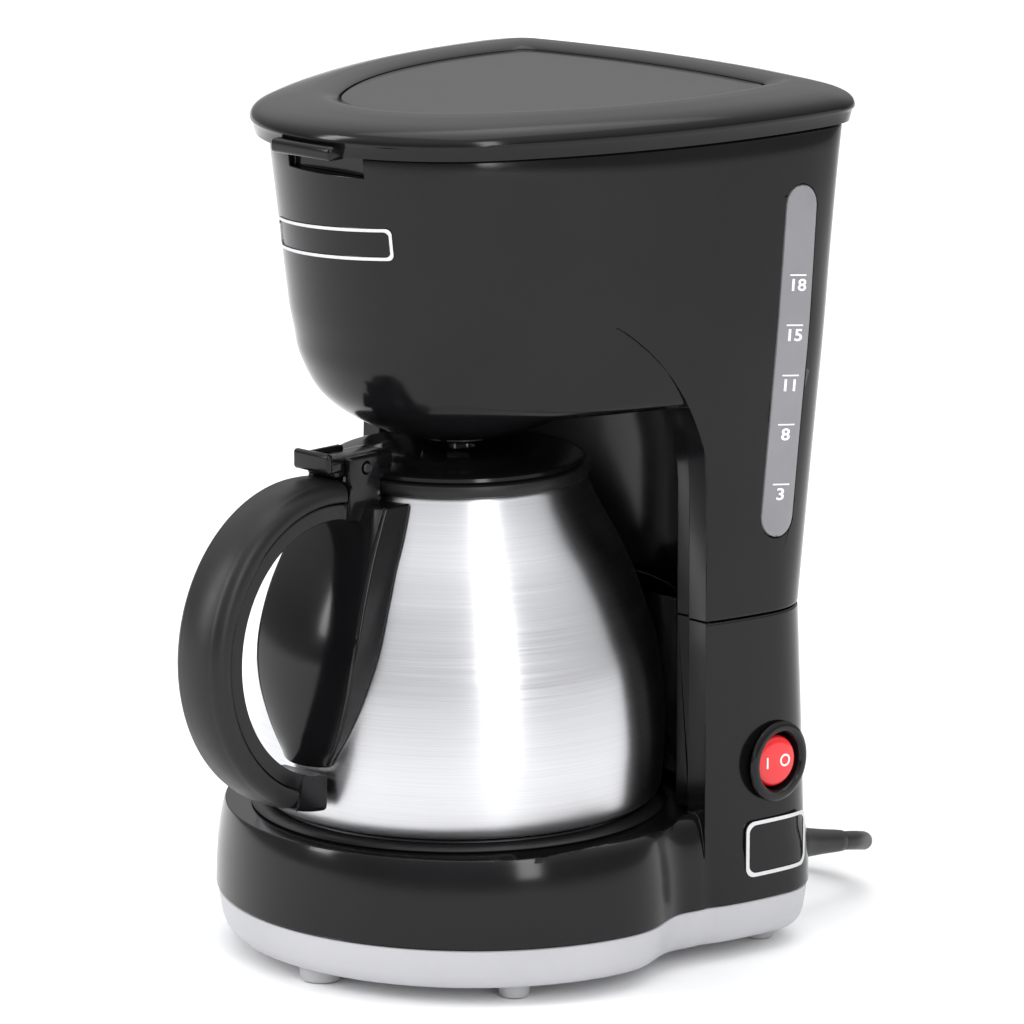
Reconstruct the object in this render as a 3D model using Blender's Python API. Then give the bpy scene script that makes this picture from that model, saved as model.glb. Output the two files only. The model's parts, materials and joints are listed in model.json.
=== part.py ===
"""Drip coffee maker with a steel carafe, as an assembly of separate parts.

Lengths are in millimetres and are scaled to metres when a mesh is made.
The carafe's axis is the origin in plan, the floor is z = 0, the front (the
carafe's handle) looks along -Y and the water gauge and the switch are on +X.
"""
import math

import bmesh
import bpy
from mathutils import Vector

MM = 0.001
GAP = 0.3                      # clearance between touching parts

# ---- driving dimensions -------------------------------------------------------
OUTLINE_POINTS = 48            # points round a lofted outline
ROUND = 36                     # segments of a large turned part
SMALL_ROUND = 16               # segments of a small turned part

PAN_BOTTOM = 5.0               # underside of the grey base pan
SKIRT_BOTTOM = 18.0            # joint between the pan and the lower housing
RIM_TOP = 46.5                 # rim of the drum that the carafe stands in
SEAM = 106.0                   # joint between the lower and the upper housing
HOUSING_TOP = 249.0
LID_BOTTOM = 249.5
LID_EDGE = 252.7
LID_CREST = 260.8

DRUM_RADIUS = 78.6
DRUM_CENTRE_Y = 7.0
RIM_INNER_RADIUS = 72.3
NOTCH_Y = 20.0                 # waist between the drum and the column
NOTCH_DEPTH = 5.2
NOTCH_SPREADS = (13.0, 9.0)    # in front of and behind its deepest point

BAY_RADIUS = 67.5              # wall behind the carafe
BAY_DOME_CENTRE = 143.0
BAY_DOME_RISE = 75.0
MOUTH_DOME_RISE = 85.7
MOUTH_STEPS = ((72.5, 33.5), (79.2, 31.0))   # (radius, y) of the stepped mouth

PLATE_RADIUS = 57.0
PLATE_TOP = 46.9
CARAFE_BOTTOM = 47.3
CARAFE_TOP = 145.4
STEEL = 1.2                    # carafe wall

HANDLE_CENTRE_Y = -62.0
HANDLE_CENTRE_Z = 103.5
HANDLE_OUTER = (46.0, 49.0)
HANDLE_MIDDLE = (40.2, 43.0)
HANDLE_INNER = (35.5, 38.2)
HANDLE_HALF_WIDTH = 9.2

LID_HINGE_Y = 101.5
LID_HINGE_Z = 250.8
CARAFE_HINGE_Y = -47.0
CARAFE_HINGE_Z = 155.4

SWITCH_Y = 56.0
SWITCH_Z = 60.0
ROCKER_LEAN = math.radians(-8.0)
CORD_RADIUS = 2.9
CORD_EXIT_X = 60.0
CORD_EXIT_Z = 25.2
CORD_AXIS = Vector((0.0, 0.987, -0.163))
RELIEF_LENGTH = 24.3
COIL_CENTRE = (-80.0, 150.0)
COIL_RADIUS = 32.0
CORD_RUN = ((59.2, 114.2, 19.8), (56.5, 120.6, 17.9), (52.4, 125.9, 15.9), (47.0, 130.0, 14.0),
            (40.7, 132.6, 12.2), (34.0, 133.4, 10.6), (17.5, 131.6, 7.4), (0.0, 126.5, 4.4),
            (-20.0, 118.6, 3.1), (-40.0, 111.9, 3.0), (-60.0, 108.9, 3.0), (-80.0, 108.5, 3.0))

HOSE_X = 44.0                  # tank outlet on the left, riser on the right
HOSE_Y = 64.0
EAR_X = 36.0                   # lid hinge ears on the housing
EAR_WIDTH = 5.5
GAUGE_LINE = ((56.5, 135.0), (68.0, 227.0))
GAUGE_WIDTH = 12.4
BADGE_LINE = ((49.5, 34.0), (64.5, 34.0))
BADGE_WIDTH = 16.0
VALVE_TIP = 156.3

# bodies of revolution and lofts, as (radius or inset, height) pairs
BOWL = ((16.0, 158.4), (24.0, 160.5), (33.1, 165.0), (39.6, 169.8), (43.8, 175.0), (47.6, 183.3),
        (48.8, 189.4), (49.6, 194.0))
CHAMBER = ((7.6, 157.0), (7.6, 161.0), (20.0, 161.4), (31.4, 166.0), (38.5, 172.0), (44.3, 185.0),
           (45.8, 195.0), (46.3, 241.0), (48.9, 241.2), (48.9, 251.0))
LID_LEVELS = ((24, 255.3), (6.5, 255.2), (3.2, 253.6), (3.2, LID_BOTTOM), (1.5, LID_BOTTOM), (0.8, LID_EDGE),
              (0.0, 253.9), (0.5, 255.8), (2.2, 257.4), (6, 258.9), (12, 260.2), (15.5, 260.7),
              (17, LID_CREST), (19, 260.6), (21, 259.8), (22.3, 259.0), (22.4, 257.3))
CARAFE = ((57.0, CARAFE_BOTTOM), (59.6, 48.2), (61.2, 51.0), (62.2, 61.0), (62.5, 70.5), (61.7, 82.0),
          (60.1, 93), (57.4, 102), (53.8, 113), (51.3, 119), (48.3, 125.5), (43.5, 134), (40, 141),
          (38.2, CARAFE_TOP))

# small parts, as (name, x, y) with a foot's radius last
FEET = (("foot_front", 0, -58, 6.6), ("foot_left", -53, -30, 4.7), ("foot_right", 53, -30, 4.7),
        ("foot_rear_left", -63, 66, 4.7), ("foot_rear_right", 63, 66, 4.7))
PAN_SCREWS = (("base_screw_1", -46, -14), ("base_screw_2", 46, -14), ("base_screw_3", -46, 62),
              ("base_screw_4", 46, 62))

SPRING_LOW = 166.0
SPRING_RISE = 6.8
CENTRE_SHIFT = (-0.56, -0.11, 0.0)   # puts the middle of the width and the depth on the origin


# ---- general tools ------------------------------------------------------------
def clear_scene():
    for obj in list(bpy.data.objects):
        bpy.data.objects.remove(obj, do_unlink=True)


def material(name, colour, roughness, metallic=0.0):
    mat = bpy.data.materials.get(name)
    if mat:
        return mat
    mat = bpy.data.materials.new(name)
    mat.use_nodes = True
    shader = mat.node_tree.nodes["Principled BSDF"]
    shader.inputs["Base Color"].default_value = (*colour, 1.0)
    shader.inputs["Roughness"].default_value = roughness
    shader.inputs["Metallic"].default_value = metallic
    return mat


def make_object(name, verts, faces, mat, pivot=(0, 0, 0)):
    """A closed mesh object from millimetre points, with its origin at pivot."""
    mesh = bpy.data.meshes.new(name)
    origin = Vector(pivot)
    points = [(Vector(v) - origin) * MM for v in verts]
    mesh.from_pydata(points, [], faces)
    bm = bmesh.new()
    bm.from_mesh(mesh)
    bmesh.ops.recalc_face_normals(bm, faces=bm.faces)
    bm.to_mesh(mesh)
    bm.free()
    mesh.materials.append(mat)
    mesh.shade_smooth()
    mesh.set_sharp_from_angle(angle=math.radians(35))
    obj = bpy.data.objects.new(name, mesh)
    obj.location = origin * MM
    bpy.context.collection.objects.link(obj)
    return obj


def loft(name, rings, mat, pivot=(0, 0, 0)):
    """Skin equal-length rings of points and cap the first and the last."""
    count = len(rings[0])
    verts = [point for ring in rings for point in ring]
    faces = [list(range(count))]
    for level in range(len(rings) - 1):
        low = level * count
        for i in range(count):
            j = (i + 1) % count
            faces.append([low + i, low + j, low + count + j, low + count + i])
    faces.append(list(range(len(verts) - count, len(verts))))
    return make_object(name, verts, faces, mat, pivot)


def circle(radius, z, centre=(0, 0), segments=ROUND, turn=0.0):
    step = 2 * math.pi / segments
    angles = [turn + step * (i + 0.5) for i in range(segments)]
    return [(centre[0] + radius * math.cos(a), centre[1] + radius * math.sin(a), z) for a in angles]


def turned(name, profile, mat, centre=(0, 0), segments=ROUND, pivot=(0, 0, 0)):
    """Turn (radius, z) pairs about a vertical axis; flat ends are capped."""
    rings = [circle(radius, z, centre, segments) for radius, z in profile]
    return loft(name, rings, mat, pivot)


def turned_ring(name, profile, mat, centre=(0, 0), segments=ROUND, pivot=(0, 0, 0)):
    """Turn a closed (radius, z) outline that stays clear of the axis."""
    count = len(profile)
    rings = [circle(radius, z, centre, segments) for radius, z in profile]
    verts = [point for ring in rings for point in ring]
    faces = []
    for level in range(count):
        low = level * segments
        high = (level + 1) % count * segments
        for i in range(segments):
            j = (i + 1) % segments
            faces.append([low + i, low + j, high + j, high + i])
    return make_object(name, verts, faces, mat, pivot)


def spindle(name, profile, mat, start, axis, segments=SMALL_ROUND, pivot=(0, 0, 0)):
    """Turn (radius, distance) pairs about the line from start along axis."""
    turn = Vector((0, 0, 1)).rotation_difference(Vector(axis)).to_matrix()
    base = Vector(start)
    rings = []
    for radius, distance in profile:
        ring = [base + turn @ Vector(p) for p in circle(radius, distance, (0, 0), segments)]
        rings.append(ring)
    return loft(name, rings, mat, pivot)


def box(name, low, high, mat, pivot=(0, 0, 0), bevel=0.0):
    (x0, y0, z0), (x1, y1, z1) = low, high
    ring = [(x0, y0), (x1, y0), (x1, y1), (x0, y1)]
    obj = loft(name, [[(x, y, z0) for x, y in ring], [(x, y, z1) for x, y in ring]], mat, pivot)
    if bevel:
        soften(obj, bevel)
    return obj


def soften(obj, width, segments=2, angle=40):
    """Round the sharp edges of an object."""
    mod = obj.modifiers.new("soften", "BEVEL")
    mod.width = width * MM
    mod.segments = segments
    mod.limit_method = "ANGLE"
    mod.angle_limit = math.radians(angle)


def combine(obj, other, operation="DIFFERENCE"):
    """Cut, join or intersect with a guide that the build leaves out."""
    mod = obj.modifiers.new(operation.lower(), "BOOLEAN")
    mod.operation = operation
    mod.object = other
    mod.solver = "EXACT"
    other.hide_render = True
    other.display_type = "WIRE"
    return obj


def sweep(name, path, section, mat, pivot=(0, 0, 0)):
    """Carry a closed (side, up) section along a path of (point, side, up) frames."""
    rings = []
    for point, side, up in path:
        ring = [Vector(point) + side * a + up * b for a, b in section]
        rings.append(ring)
    return loft(name, rings, mat, pivot)


def smooth_route(route, spacing):
    """Points about spacing apart on a smooth curve through the route's points."""
    knots = [Vector(p) for p in route]
    knots = [2 * knots[0] - knots[1]] + knots + [2 * knots[-1] - knots[-2]]
    points = [knots[1]]
    for a, b, c, d in zip(knots, knots[1:], knots[2:], knots[3:]):
        steps = max(1, round((c - b).length / spacing))
        for i in range(1, steps + 1):
            t = i / steps
            points.append(0.5 * (2 * b + (c - a) * t + (2 * a - 5 * b + 4 * c - d) * t ** 2
                                 + (3 * b - a - 3 * c + d) * t ** 3))
    return points


def pipe(name, points, radius, mat, sides=4):
    """A round solid along points, as a bevelled curve with filled caps."""
    curve = bpy.data.curves.new(name, "CURVE")
    curve.dimensions = "3D"
    curve.bevel_depth = radius * MM
    curve.bevel_resolution = sides
    curve.use_fill_caps = True
    spline = curve.splines.new("POLY")
    spline.points.add(len(points) - 1)
    for knot, point in zip(spline.points, points):
        knot.co = (*(Vector(point) * MM), 1.0)
    curve.materials.append(mat)
    obj = bpy.data.objects.new(name, curve)
    bpy.context.collection.objects.link(obj)
    return obj


# ---- plan outlines --------------------------------------------------------------
def resample(points, count):
    """Equal steps along a closed outline, starting from its first point."""
    loop = [Vector(p) for p in points] + [Vector(points[0])]
    lengths = [0.0]
    for a, b in zip(loop, loop[1:]):
        lengths.append(lengths[-1] + (b - a).length)
    result = []
    k = 0
    for i in range(count):
        target = lengths[-1] * i / count
        while lengths[k + 1] < target:
            k += 1
        share = (target - lengths[k]) / (lengths[k + 1] - lengths[k])
        result.append(loop[k].lerp(loop[k + 1], share))
    return result


def inset(outline, distance):
    """Move every point of a counter-clockwise outline inwards."""
    count = len(outline)
    moved = []
    for i, point in enumerate(outline):
        along = (outline[(i + 1) % count] - outline[i - 1]).normalized()
        moved.append(point - Vector((along.y, -along.x)) * distance)
    return moved


def arc_centre(front, front_radius, rear, rear_radius, radius):
    """Centre of the side arc that touches the front and the rear corner arcs."""
    a = radius - front_radius
    b = radius - rear_radius
    line = rear - front
    span = line.length
    along = (a * a - b * b + span * span) / (2 * span)
    across = math.sqrt(a * a - along * along)
    unit = line / span
    return front + unit * along + Vector((-unit.y, unit.x)) * across


def rounded_triangle(front_radius, front_y, rear_radius, rear_x, rear_y, side_radius, back_radius):
    """Outline of three bowed sides and three corner arcs, symmetric in x."""
    front = Vector((0, front_y))
    rear = Vector((rear_x, rear_y))
    side = arc_centre(front, front_radius, rear, rear_radius, side_radius)
    reach = back_radius - rear_radius
    back = Vector((0, rear_y - math.sqrt(reach * reach - rear_x * rear_x)))
    turn_1 = math.atan2(front.y - side.y, front.x - side.x)
    turn_2 = math.atan2(rear.y - side.y, rear.x - side.x)
    turn_3 = math.atan2(rear.y - back.y, rear.x - back.x)
    arcs = ((front, front_radius, -math.pi / 2, turn_1), (side, side_radius, turn_1, turn_2),
            (rear, rear_radius, turn_2, turn_3), (back, back_radius, turn_3, math.pi / 2))
    half = []
    steps = 24
    for centre, radius, start, end in arcs:
        for i in range(steps):
            a = start + (end - start) * i / steps
            half.append(centre + Vector((math.cos(a), math.sin(a))) * radius)
    half.append(back + Vector((0, back_radius)))
    mirror = [Vector((-p.x, p.y)) for p in reversed(half[1:-1])]
    return resample(half + mirror, OUTLINE_POINTS)


def blend_outlines(first, second, share):
    return [a.lerp(b, share) for a, b in zip(first, second)]


def lid_outline():
    return rounded_triangle(58.5, -4.0, 16.0, 62.0, 83.0, 234, 229)


def crest_outline():
    return rounded_triangle(40.2, -4.1, 7.0, 52.0, 81.4, 140, 270)


def top_outline():
    return rounded_triangle(53.0, -4.0, 14.0, 61.4, 81.0, 215, 225)


def funnel_outline():
    return rounded_triangle(49.0, -0.5, 17.0, 60.8, 70.2, 170, 260)


def column_outline():
    return rounded_triangle(47.0, 0.0, 20.0, 58.5, 57.5, 140, 300)


def foot_outline():
    return rounded_triangle(47.0, 0.0, 20.5, 59.1, 62.2, 140, 300)


def housing_outline(z):
    """Plan of the column and the funnel at height z."""
    levels = ((SKIRT_BOTTOM, foot_outline()), (SEAM, column_outline()), (190.0, funnel_outline()),
              (HOUSING_TOP, top_outline()))
    for (z0, first), (z1, second) in zip(levels, levels[1:]):
        if z <= z1:
            return blend_outlines(first, second, (z - z0) / (z1 - z0))
    return levels[-1][1]


def half_width(outline, y):
    """Width from the axis to an outline's +X side at y."""
    best = 0.0
    for a, b in zip(outline, outline[1:]):
        if a.x >= 0 and b.x >= 0 and min(a.y, b.y) <= y <= max(a.y, b.y) and a.y != b.y:
            share = (y - a.y) / (b.y - a.y)
            best = max(best, a.x + (b.x - a.x) * share)
    return best


def base_outline():
    """The drum and the foot of the column, with the waist between them."""
    rear = foot_outline()
    front_y = DRUM_CENTRE_Y - DRUM_RADIUS
    back_y = max(p.y for p in rear)
    half = [Vector((0, front_y))]
    steps = 120
    for i in range(1, steps):
        y = (front_y + back_y) / 2 - (back_y - front_y) / 2 * math.cos(math.pi * i / steps)
        reach = DRUM_RADIUS ** 2 - (y - DRUM_CENTRE_Y) ** 2
        drum = math.sqrt(reach) if reach > 0 else 0.0
        spread = NOTCH_SPREADS[0] if y < NOTCH_Y else NOTCH_SPREADS[1]
        waist = NOTCH_DEPTH * math.exp(-((y - NOTCH_Y) / spread) ** 2)
        half.append(Vector((max(drum, half_width(rear, y)) - waist, y)))
    half.append(Vector((0, back_y)))
    mirror = [Vector((-p.x, p.y)) for p in reversed(half[1:-1])]
    return resample(half + mirror, OUTLINE_POINTS)


def at_height(outline, z):
    return [(p.x, p.y, z) for p in outline]


def plan_rings(levels, shape):
    """Rings from (z, inset) pairs of one plan shape."""
    return [at_height(inset(shape(z), d), z) for z, d in levels]


# ---- materials ------------------------------------------------------------------
def gloss_black():
    return material("gloss_black", (0.012, 0.012, 0.013), 0.18)


def matte_black():
    return material("matte_black", (0.02, 0.02, 0.021), 0.55)


def grey_plastic():
    return material("grey_plastic", (0.5, 0.51, 0.53), 0.45)


def natural_plastic():
    return material("natural_plastic", (0.75, 0.74, 0.7), 0.5)


def steel():
    return material("steel", (0.75, 0.75, 0.76), 0.28, 1.0)


def dark_steel():
    return material("dark_steel", (0.05, 0.05, 0.055), 0.4, 0.6)


def aluminium():
    return material("aluminium", (0.6, 0.6, 0.61), 0.4, 1.0)


def chrome():
    return material("chrome", (0.85, 0.85, 0.86), 0.12, 1.0)


def brass():
    return material("brass", (0.7, 0.5, 0.2), 0.35, 1.0)


def rubber():
    return material("rubber", (0.45, 0.46, 0.48), 0.7)


def silicone():
    return material("silicone", (0.6, 0.58, 0.55), 0.6)


def red_plastic():
    return material("red_plastic", (0.75, 0.02, 0.02), 0.25)


def smoke_clear():
    return material("smoke_clear", (0.35, 0.36, 0.37), 0.2)


def cord_black():
    return material("cord_black", (0.015, 0.015, 0.016), 0.45)


# ---- shared cutters ---------------------------------------------------------------
def dome_radius(radius, rise, z):
    """Radius of a dome of a given rise over the bay's straight wall."""
    if z <= BAY_DOME_CENTRE:
        return radius
    return radius * math.sqrt(1 - ((z - BAY_DOME_CENTRE) / rise) ** 2)


def dome(name, radius, bottom, rise, mat):
    """A cylinder under an elliptical dome with a flat top."""
    steps = 6
    heights = [BAY_DOME_CENTRE + rise * 0.78 * i / steps for i in range(steps + 1)]
    profile = [(radius, bottom)] + [(dome_radius(radius, rise, z), z) for z in heights]
    return turned(name, profile, mat)


def arc_points(radius, start, end, steps):
    angles = [start + (end - start) * i / steps for i in range(steps + 1)]
    return [(radius * math.cos(a), radius * math.sin(a)) for a in angles]


def mouth_ring(z):
    """Plan of the bay with the two steps of its mouth, at height z."""
    (step_1, y_1), (step_2, y_2) = MOUTH_STEPS
    wall = max(40.0, dome_radius(BAY_RADIUS, BAY_DOME_RISE, z))
    step_1 = dome_radius(step_1, MOUTH_DOME_RISE, z)
    step_2 = dome_radius(step_2, MOUTH_DOME_RISE, z)
    half = arc_points(step_2, -math.pi / 2, math.asin(y_2 / step_2), 9)
    half += arc_points(step_1, math.asin(y_2 / step_1), math.asin(y_1 / step_1), 1)
    half += arc_points(wall, math.asin(y_1 / wall), math.pi / 2, 7)
    mirror = [(-x, y) for x, y in reversed(half[1:-1])]
    return [(x, y, z) for x, y in half + mirror]


def bay_cutter(name, bottom, top, mat):
    """The space for the carafe: straight walls, then a dome round the bowl."""
    heights = [z for z in (BAY_DOME_CENTRE, 157, 170, 181, 190, 198, 205.3) if z < top]
    return loft(name, [mouth_ring(z) for z in (bottom, *heights, top)], mat)


# ---- base -------------------------------------------------------------------------
def base_pan():
    shape = base_outline()
    levels = ((PAN_BOTTOM, 5.6), (PAN_BOTTOM + 1.2, 3.4), (PAN_BOTTOM + 5, 1.6), (SKIRT_BOTTOM - GAP, 0.5),
              (SKIRT_BOTTOM - GAP, 2.6), (PAN_BOTTOM + 5, 4.4), (PAN_BOTTOM + 2.2, 7.4))
    return loft("base_pan", plan_rings(levels, lambda z: shape), grey_plastic())


def feet():
    for name, x, y, radius in FEET:
        profile = ((radius - 1.2, 0), (radius - 0.3, 0.8), (radius, PAN_BOTTOM - GAP))
        turned(name, profile, rubber(), (x, y), SMALL_ROUND)


def base_screws(pan):
    """Four screws from below, each in its own counterbored hole and boss."""
    for name, x, y in PAN_SCREWS:
        hole = turned("cut_" + name, ((2.2, PAN_BOTTOM - 1), (2.2, PAN_BOTTOM + 4)), steel(), (x, y), 16)
        combine(pan, hole)
        profile = ((3.4, PAN_BOTTOM - 1.8), (3.6, PAN_BOTTOM - GAP), (1.7, PAN_BOTTOM - GAP),
                   (1.7, PAN_BOTTOM + 9))
        turned(name, profile, steel(), (x, y), 12)


# ---- lower housing ------------------------------------------------------------------
def lower_housing():
    """Drum skirt, carafe well and the foot of the column, open underneath."""
    mat = gloss_black()
    shape = base_outline()
    top = RIM_TOP
    levels = ((SKIRT_BOTTOM, 0.0), (32.0, 0.6), (top - 2.4, 2.8), (top - 0.6, 3.9), (top, 5.6))
    shell = loft("lower_housing", plan_rings(levels, lambda z: shape), mat)
    column_levels = ((SKIRT_BOTTOM + 6, 1.2), (top, 0.6), (76.0, 0.2), (SEAM - GAP, 0.0))
    column = loft("add_column", plan_rings(column_levels, housing_outline), mat)
    combine(column, bay_cutter("cut_bay_low", SKIRT_BOTTOM, SEAM + 1, mat))
    combine(shell, column, "UNION")
    opening = PLATE_RADIUS + 4.0
    profile = ((opening, 30), (opening, 44.4), (RIM_INNER_RADIUS - 1, 44.5),
               (RIM_INNER_RADIUS, 45.2), (RIM_INNER_RADIUS + 0.2, top + 0.5))
    combine(shell, turned("cut_well", profile, mat))
    inner_levels = ((SKIRT_BOTTOM - 1, 2.6), (32.0, 3.2), (41.6, 5.4))
    hollow = loft("cut_skirt", plan_rings(inner_levels, lambda z: shape), mat)
    combine(shell, hollow)
    back_levels = ((40.0, 3.4), (SEAM - 3, 2.6))
    chimney = loft("cut_chimney", plan_rings(back_levels, housing_outline), mat)
    combine(chimney, turned("cut_chimney_bay", ((BAY_RADIUS + 2.6, 39), (BAY_RADIUS + 2.6, SEAM)), mat))
    front = box("cut_chimney_front", (-120, -120, 39), (120, 36.2, SEAM), mat)
    combine(chimney, front)
    combine(shell, chimney)
    start = (60, SWITCH_Y, SWITCH_Z)
    combine(shell, spindle("cut_switch", ((10.0, 0), (10.0, 30)), mat, start, (1, 0, 0), 32))
    wall = (CORD_EXIT_X, back_wall(shape, CORD_EXIT_X), CORD_EXIT_Z)
    combine(shell, spindle("cut_cord", ((5.0, -14), (5.0, 12)), mat, wall, CORD_AXIS))
    for side, x in (("left", -HOSE_X), ("right", HOSE_X)):
        hole = turned("cut_roof_" + side, ((7.0, SEAM - 8), (7.0, SEAM + 2)), mat, (x, HOSE_Y), SMALL_ROUND)
        combine(shell, hole)
    return shell


# ---- upper housing ---------------------------------------------------------------------------
def tank_cutter(mat):
    levels = ((SEAM + 3, 2.6), (150.0, 2.6), (190.0, 2.6), (220.0, 2.6), (251.0, 3.0))
    tank = loft("cut_tank", plan_rings(levels, housing_outline), mat)
    combine(tank, dome("cut_tank_bay", BAY_RADIUS + 2.6, SEAM, BAY_DOME_RISE + 2.6, mat))
    combine(tank, turned("cut_tank_chamber", ((51.6, 140), (51.6, 253)), mat))
    return combine(tank, box("cut_tank_front", (-120, -120, 100), (120, 36.2, 255), mat))


def upper_housing():
    """Water tank, filter chamber and the dome over the carafe."""
    mat = gloss_black()
    heights = (SEAM + 0.6, 148, 190, 220, HOUSING_TOP - 1.0)
    levels = [(SEAM, 0.5)] + [(z, 0.0) for z in heights] + [(HOUSING_TOP, 0.9)]
    shell = loft("upper_housing", plan_rings(levels, housing_outline), mat)
    bowl = turned("cut_bowl", (*BOWL, (49.6, 212.0)), mat)
    bay = bay_cutter("cut_bay_high", SEAM - 1, 211.0, mat)
    combine(bay, bowl)
    combine(shell, bay)
    combine(shell, turned("cut_chamber", CHAMBER, mat))
    combine(shell, tank_cutter(mat))
    for side, x in (("left", -HOSE_X), ("right", HOSE_X)):
        hole = turned("cut_floor_" + side, ((6.2, SEAM - 1), (6.2, SEAM + 4)), mat, (x, HOSE_Y), SMALL_ROUND)
        combine(shell, hole)
    width = GAUGE_WIDTH + 2 * GAP
    combine(shell, wall_slab("cut_gauge", mat, GAUGE_LINE, width, housing_outline, 2.0, -5.0))
    combine(shell, box("cut_back_relief", (-60, 99.0, 242.0), (60, 120, 251), mat))
    combine(shell, box("cut_tab", (-15.5, -80, 243.0), (15.5, -51.5, 251), mat))
    for side, x in (("left", -EAR_X - EAR_WIDTH), ("right", EAR_X)):
        ear = box("add_ear_" + side, (x, 96.5, 243.5), (x + EAR_WIDTH, 103.3, 252.5), mat)
        combine(shell, ear, "UNION")
    return combine(shell, lid_bore("cut_ear_bore", mat))


def lid_bore(name, mat):
    """Hole for both lid pins, as long as the hinge."""
    half = EAR_X + EAR_WIDTH + 0.8
    start = (-half, LID_HINGE_Y, LID_HINGE_Z)
    return spindle(name, ((1.8, 0), (1.8, 2 * half)), mat, start, (1, 0, 0), 16)


def wall_slab(name, mat, line, width, shape, proud, depth):
    """A rounded slab that follows the right wall of a plan shape along a line."""
    stations = 13
    (y0, z0), (y1, z1) = line
    run = math.hypot(y1 - y0, z1 - z0)
    along = ((y1 - y0) / run, (z1 - z0) / run)
    radius = width / 2
    rings = []
    for i in range(stations):
        s = run / 2 - (run / 2 + 0.97 * radius) * math.cos(math.pi * i / (stations - 1))
        over = max(0.0, -s, s - run)
        half = math.sqrt(radius * radius - over * over)
        ring = []
        for side, lift in ((-1, proud), (1, proud), (1, depth), (-1, depth)):
            y = y0 + along[0] * s - side * half * along[1]
            z = z0 + along[1] * s + side * half * along[0]
            ring.append((half_width(shape(z), y) + lift, y, z))
        rings.append(ring)
    return loft(name, rings, mat)


def gauge_window():
    return wall_slab("gauge_window", smoke_clear(), GAUGE_LINE, GAUGE_WIDTH, housing_outline, 0.3, -2.4)


def side_badge():
    outline = inset(base_outline(), 0.6)
    return wall_slab("side_badge", chrome(), BADGE_LINE, BADGE_WIDTH, lambda z: outline, 1.2, 0.65)


def front_badge():
    """A plain rounded plate on the front of the filter chamber."""
    stations = 15
    half_x, half_z, centre_x, centre_z = 25.5, 5.4, -4.0, 222.0
    front = min(p.y for p in housing_outline(centre_z))
    radius = 51.2
    rings = []
    for i in range(stations):
        along = -math.cos(math.pi * i / (stations - 1))
        x = centre_x + half_x * along
        half = half_z * math.sqrt(max(0.03, 1 - along ** 4))
        ring = []
        for dz, lift in ((-half, -1.4), (half, -1.4), (half, 0.0), (-half, 0.0)):
            drop = 1.0 + 0.1 * dz
            y = front - drop + radius - math.sqrt(radius ** 2 - x * x) + lift
            ring.append((x, y, centre_z + dz))
        rings.append(ring)
    return loft("front_badge", rings, chrome())


# ---- lid --------------------------------------------------------------------------------
def lid_ring(d, z):
    """Lid plan d inside its edge: to the crest outline, then shrinking on."""
    crest = crest_outline()
    if d <= 17:
        return at_height(blend_outlines(lid_outline(), crest, d / 17), z)
    centre = Vector((0, 34))
    factor = 1 - (d - 17) / 46
    return at_height([centre + (p - centre) * factor for p in crest], z)


def lid():
    mat = gloss_black()
    shell = loft("lid", [lid_ring(d, z) for d, z in LID_LEVELS], mat, (0, LID_HINGE_Y, LID_HINGE_Z))
    for side, sign in (("left", -1), ("right", 1)):
        x0, x1 = sorted((sign * (EAR_X - 7.4), sign * (EAR_X - 0.7)))
        combine(shell, box("add_knuckle_" + side, (x0, 98.8, 249.4), (x1, 103.8, 255.6), mat), "UNION")
        x0, x1 = sorted((sign * (EAR_X - 0.6), sign * (EAR_X + EAR_WIDTH + 0.6)))
        combine(shell, box("cut_notch_" + side, (x0, 94, 245), (x1, 112, 253.7), mat))
    tab = box("add_tab", (-13, -65.5, 246.6), (13, -58.0, 253.2), mat, bevel=1.2)
    combine(shell, tab, "UNION")
    return combine(shell, lid_bore("cut_lid_bore", mat))


def lid_panel():
    levels = ((23.0, 257.6), (23.0, 258.3), (23.5, 258.7), (40, 258.8))
    return loft("lid_panel", [lid_ring(d, z) for d, z in levels], matte_black())


def lid_pins():
    for side, sign in (("left", -1), ("right", 1)):
        start = (sign * (EAR_X - 6.5), LID_HINGE_Y, LID_HINGE_Z)
        profile = ((1.2, 0), (1.5, 0.3), (1.5, 12.2), (1.2, 12.5))
        spindle("lid_pin_" + side, profile, steel(), start, (sign, 0, 0), 12)


# ---- brewing parts ------------------------------------------------------------------------
def filter_basket():
    outer = ((6.4, 162.0), (19.0, 162.2), (30.2, 166.9), (37.5, 173.3), (43.2, 186.0), (44.8, 196.0),
             (45.7, 241.6), (48.2, 241.6), (48.2, 243.6))
    inner = ((44.2, 243.6), (43.0, 196.4), (38.8, 180.0), (32.0, 170.6), (18.6, 164.2), (6.4, 164.0))
    turned_ring("filter_basket", outer + inner, matte_black(), segments=32)
    angles = [math.radians(8 + 164 * i / 16) for i in range(17)]
    bail = [(41.5 * math.cos(a), 41.5 * math.sin(a), 246.0) for a in angles]
    pipe("basket_handle", bail, 1.4, matte_black(), 2)
    cone = ((18.0, 176.8), (30.0, 182.4), (38.2, 200.0), (41.2, 243.0), (42.6, 243.0), (39.4, 200.0),
            (31.2, 181.4), (18.6, 175.2))
    turned("mesh_filter", cone, steel(), segments=28)


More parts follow.
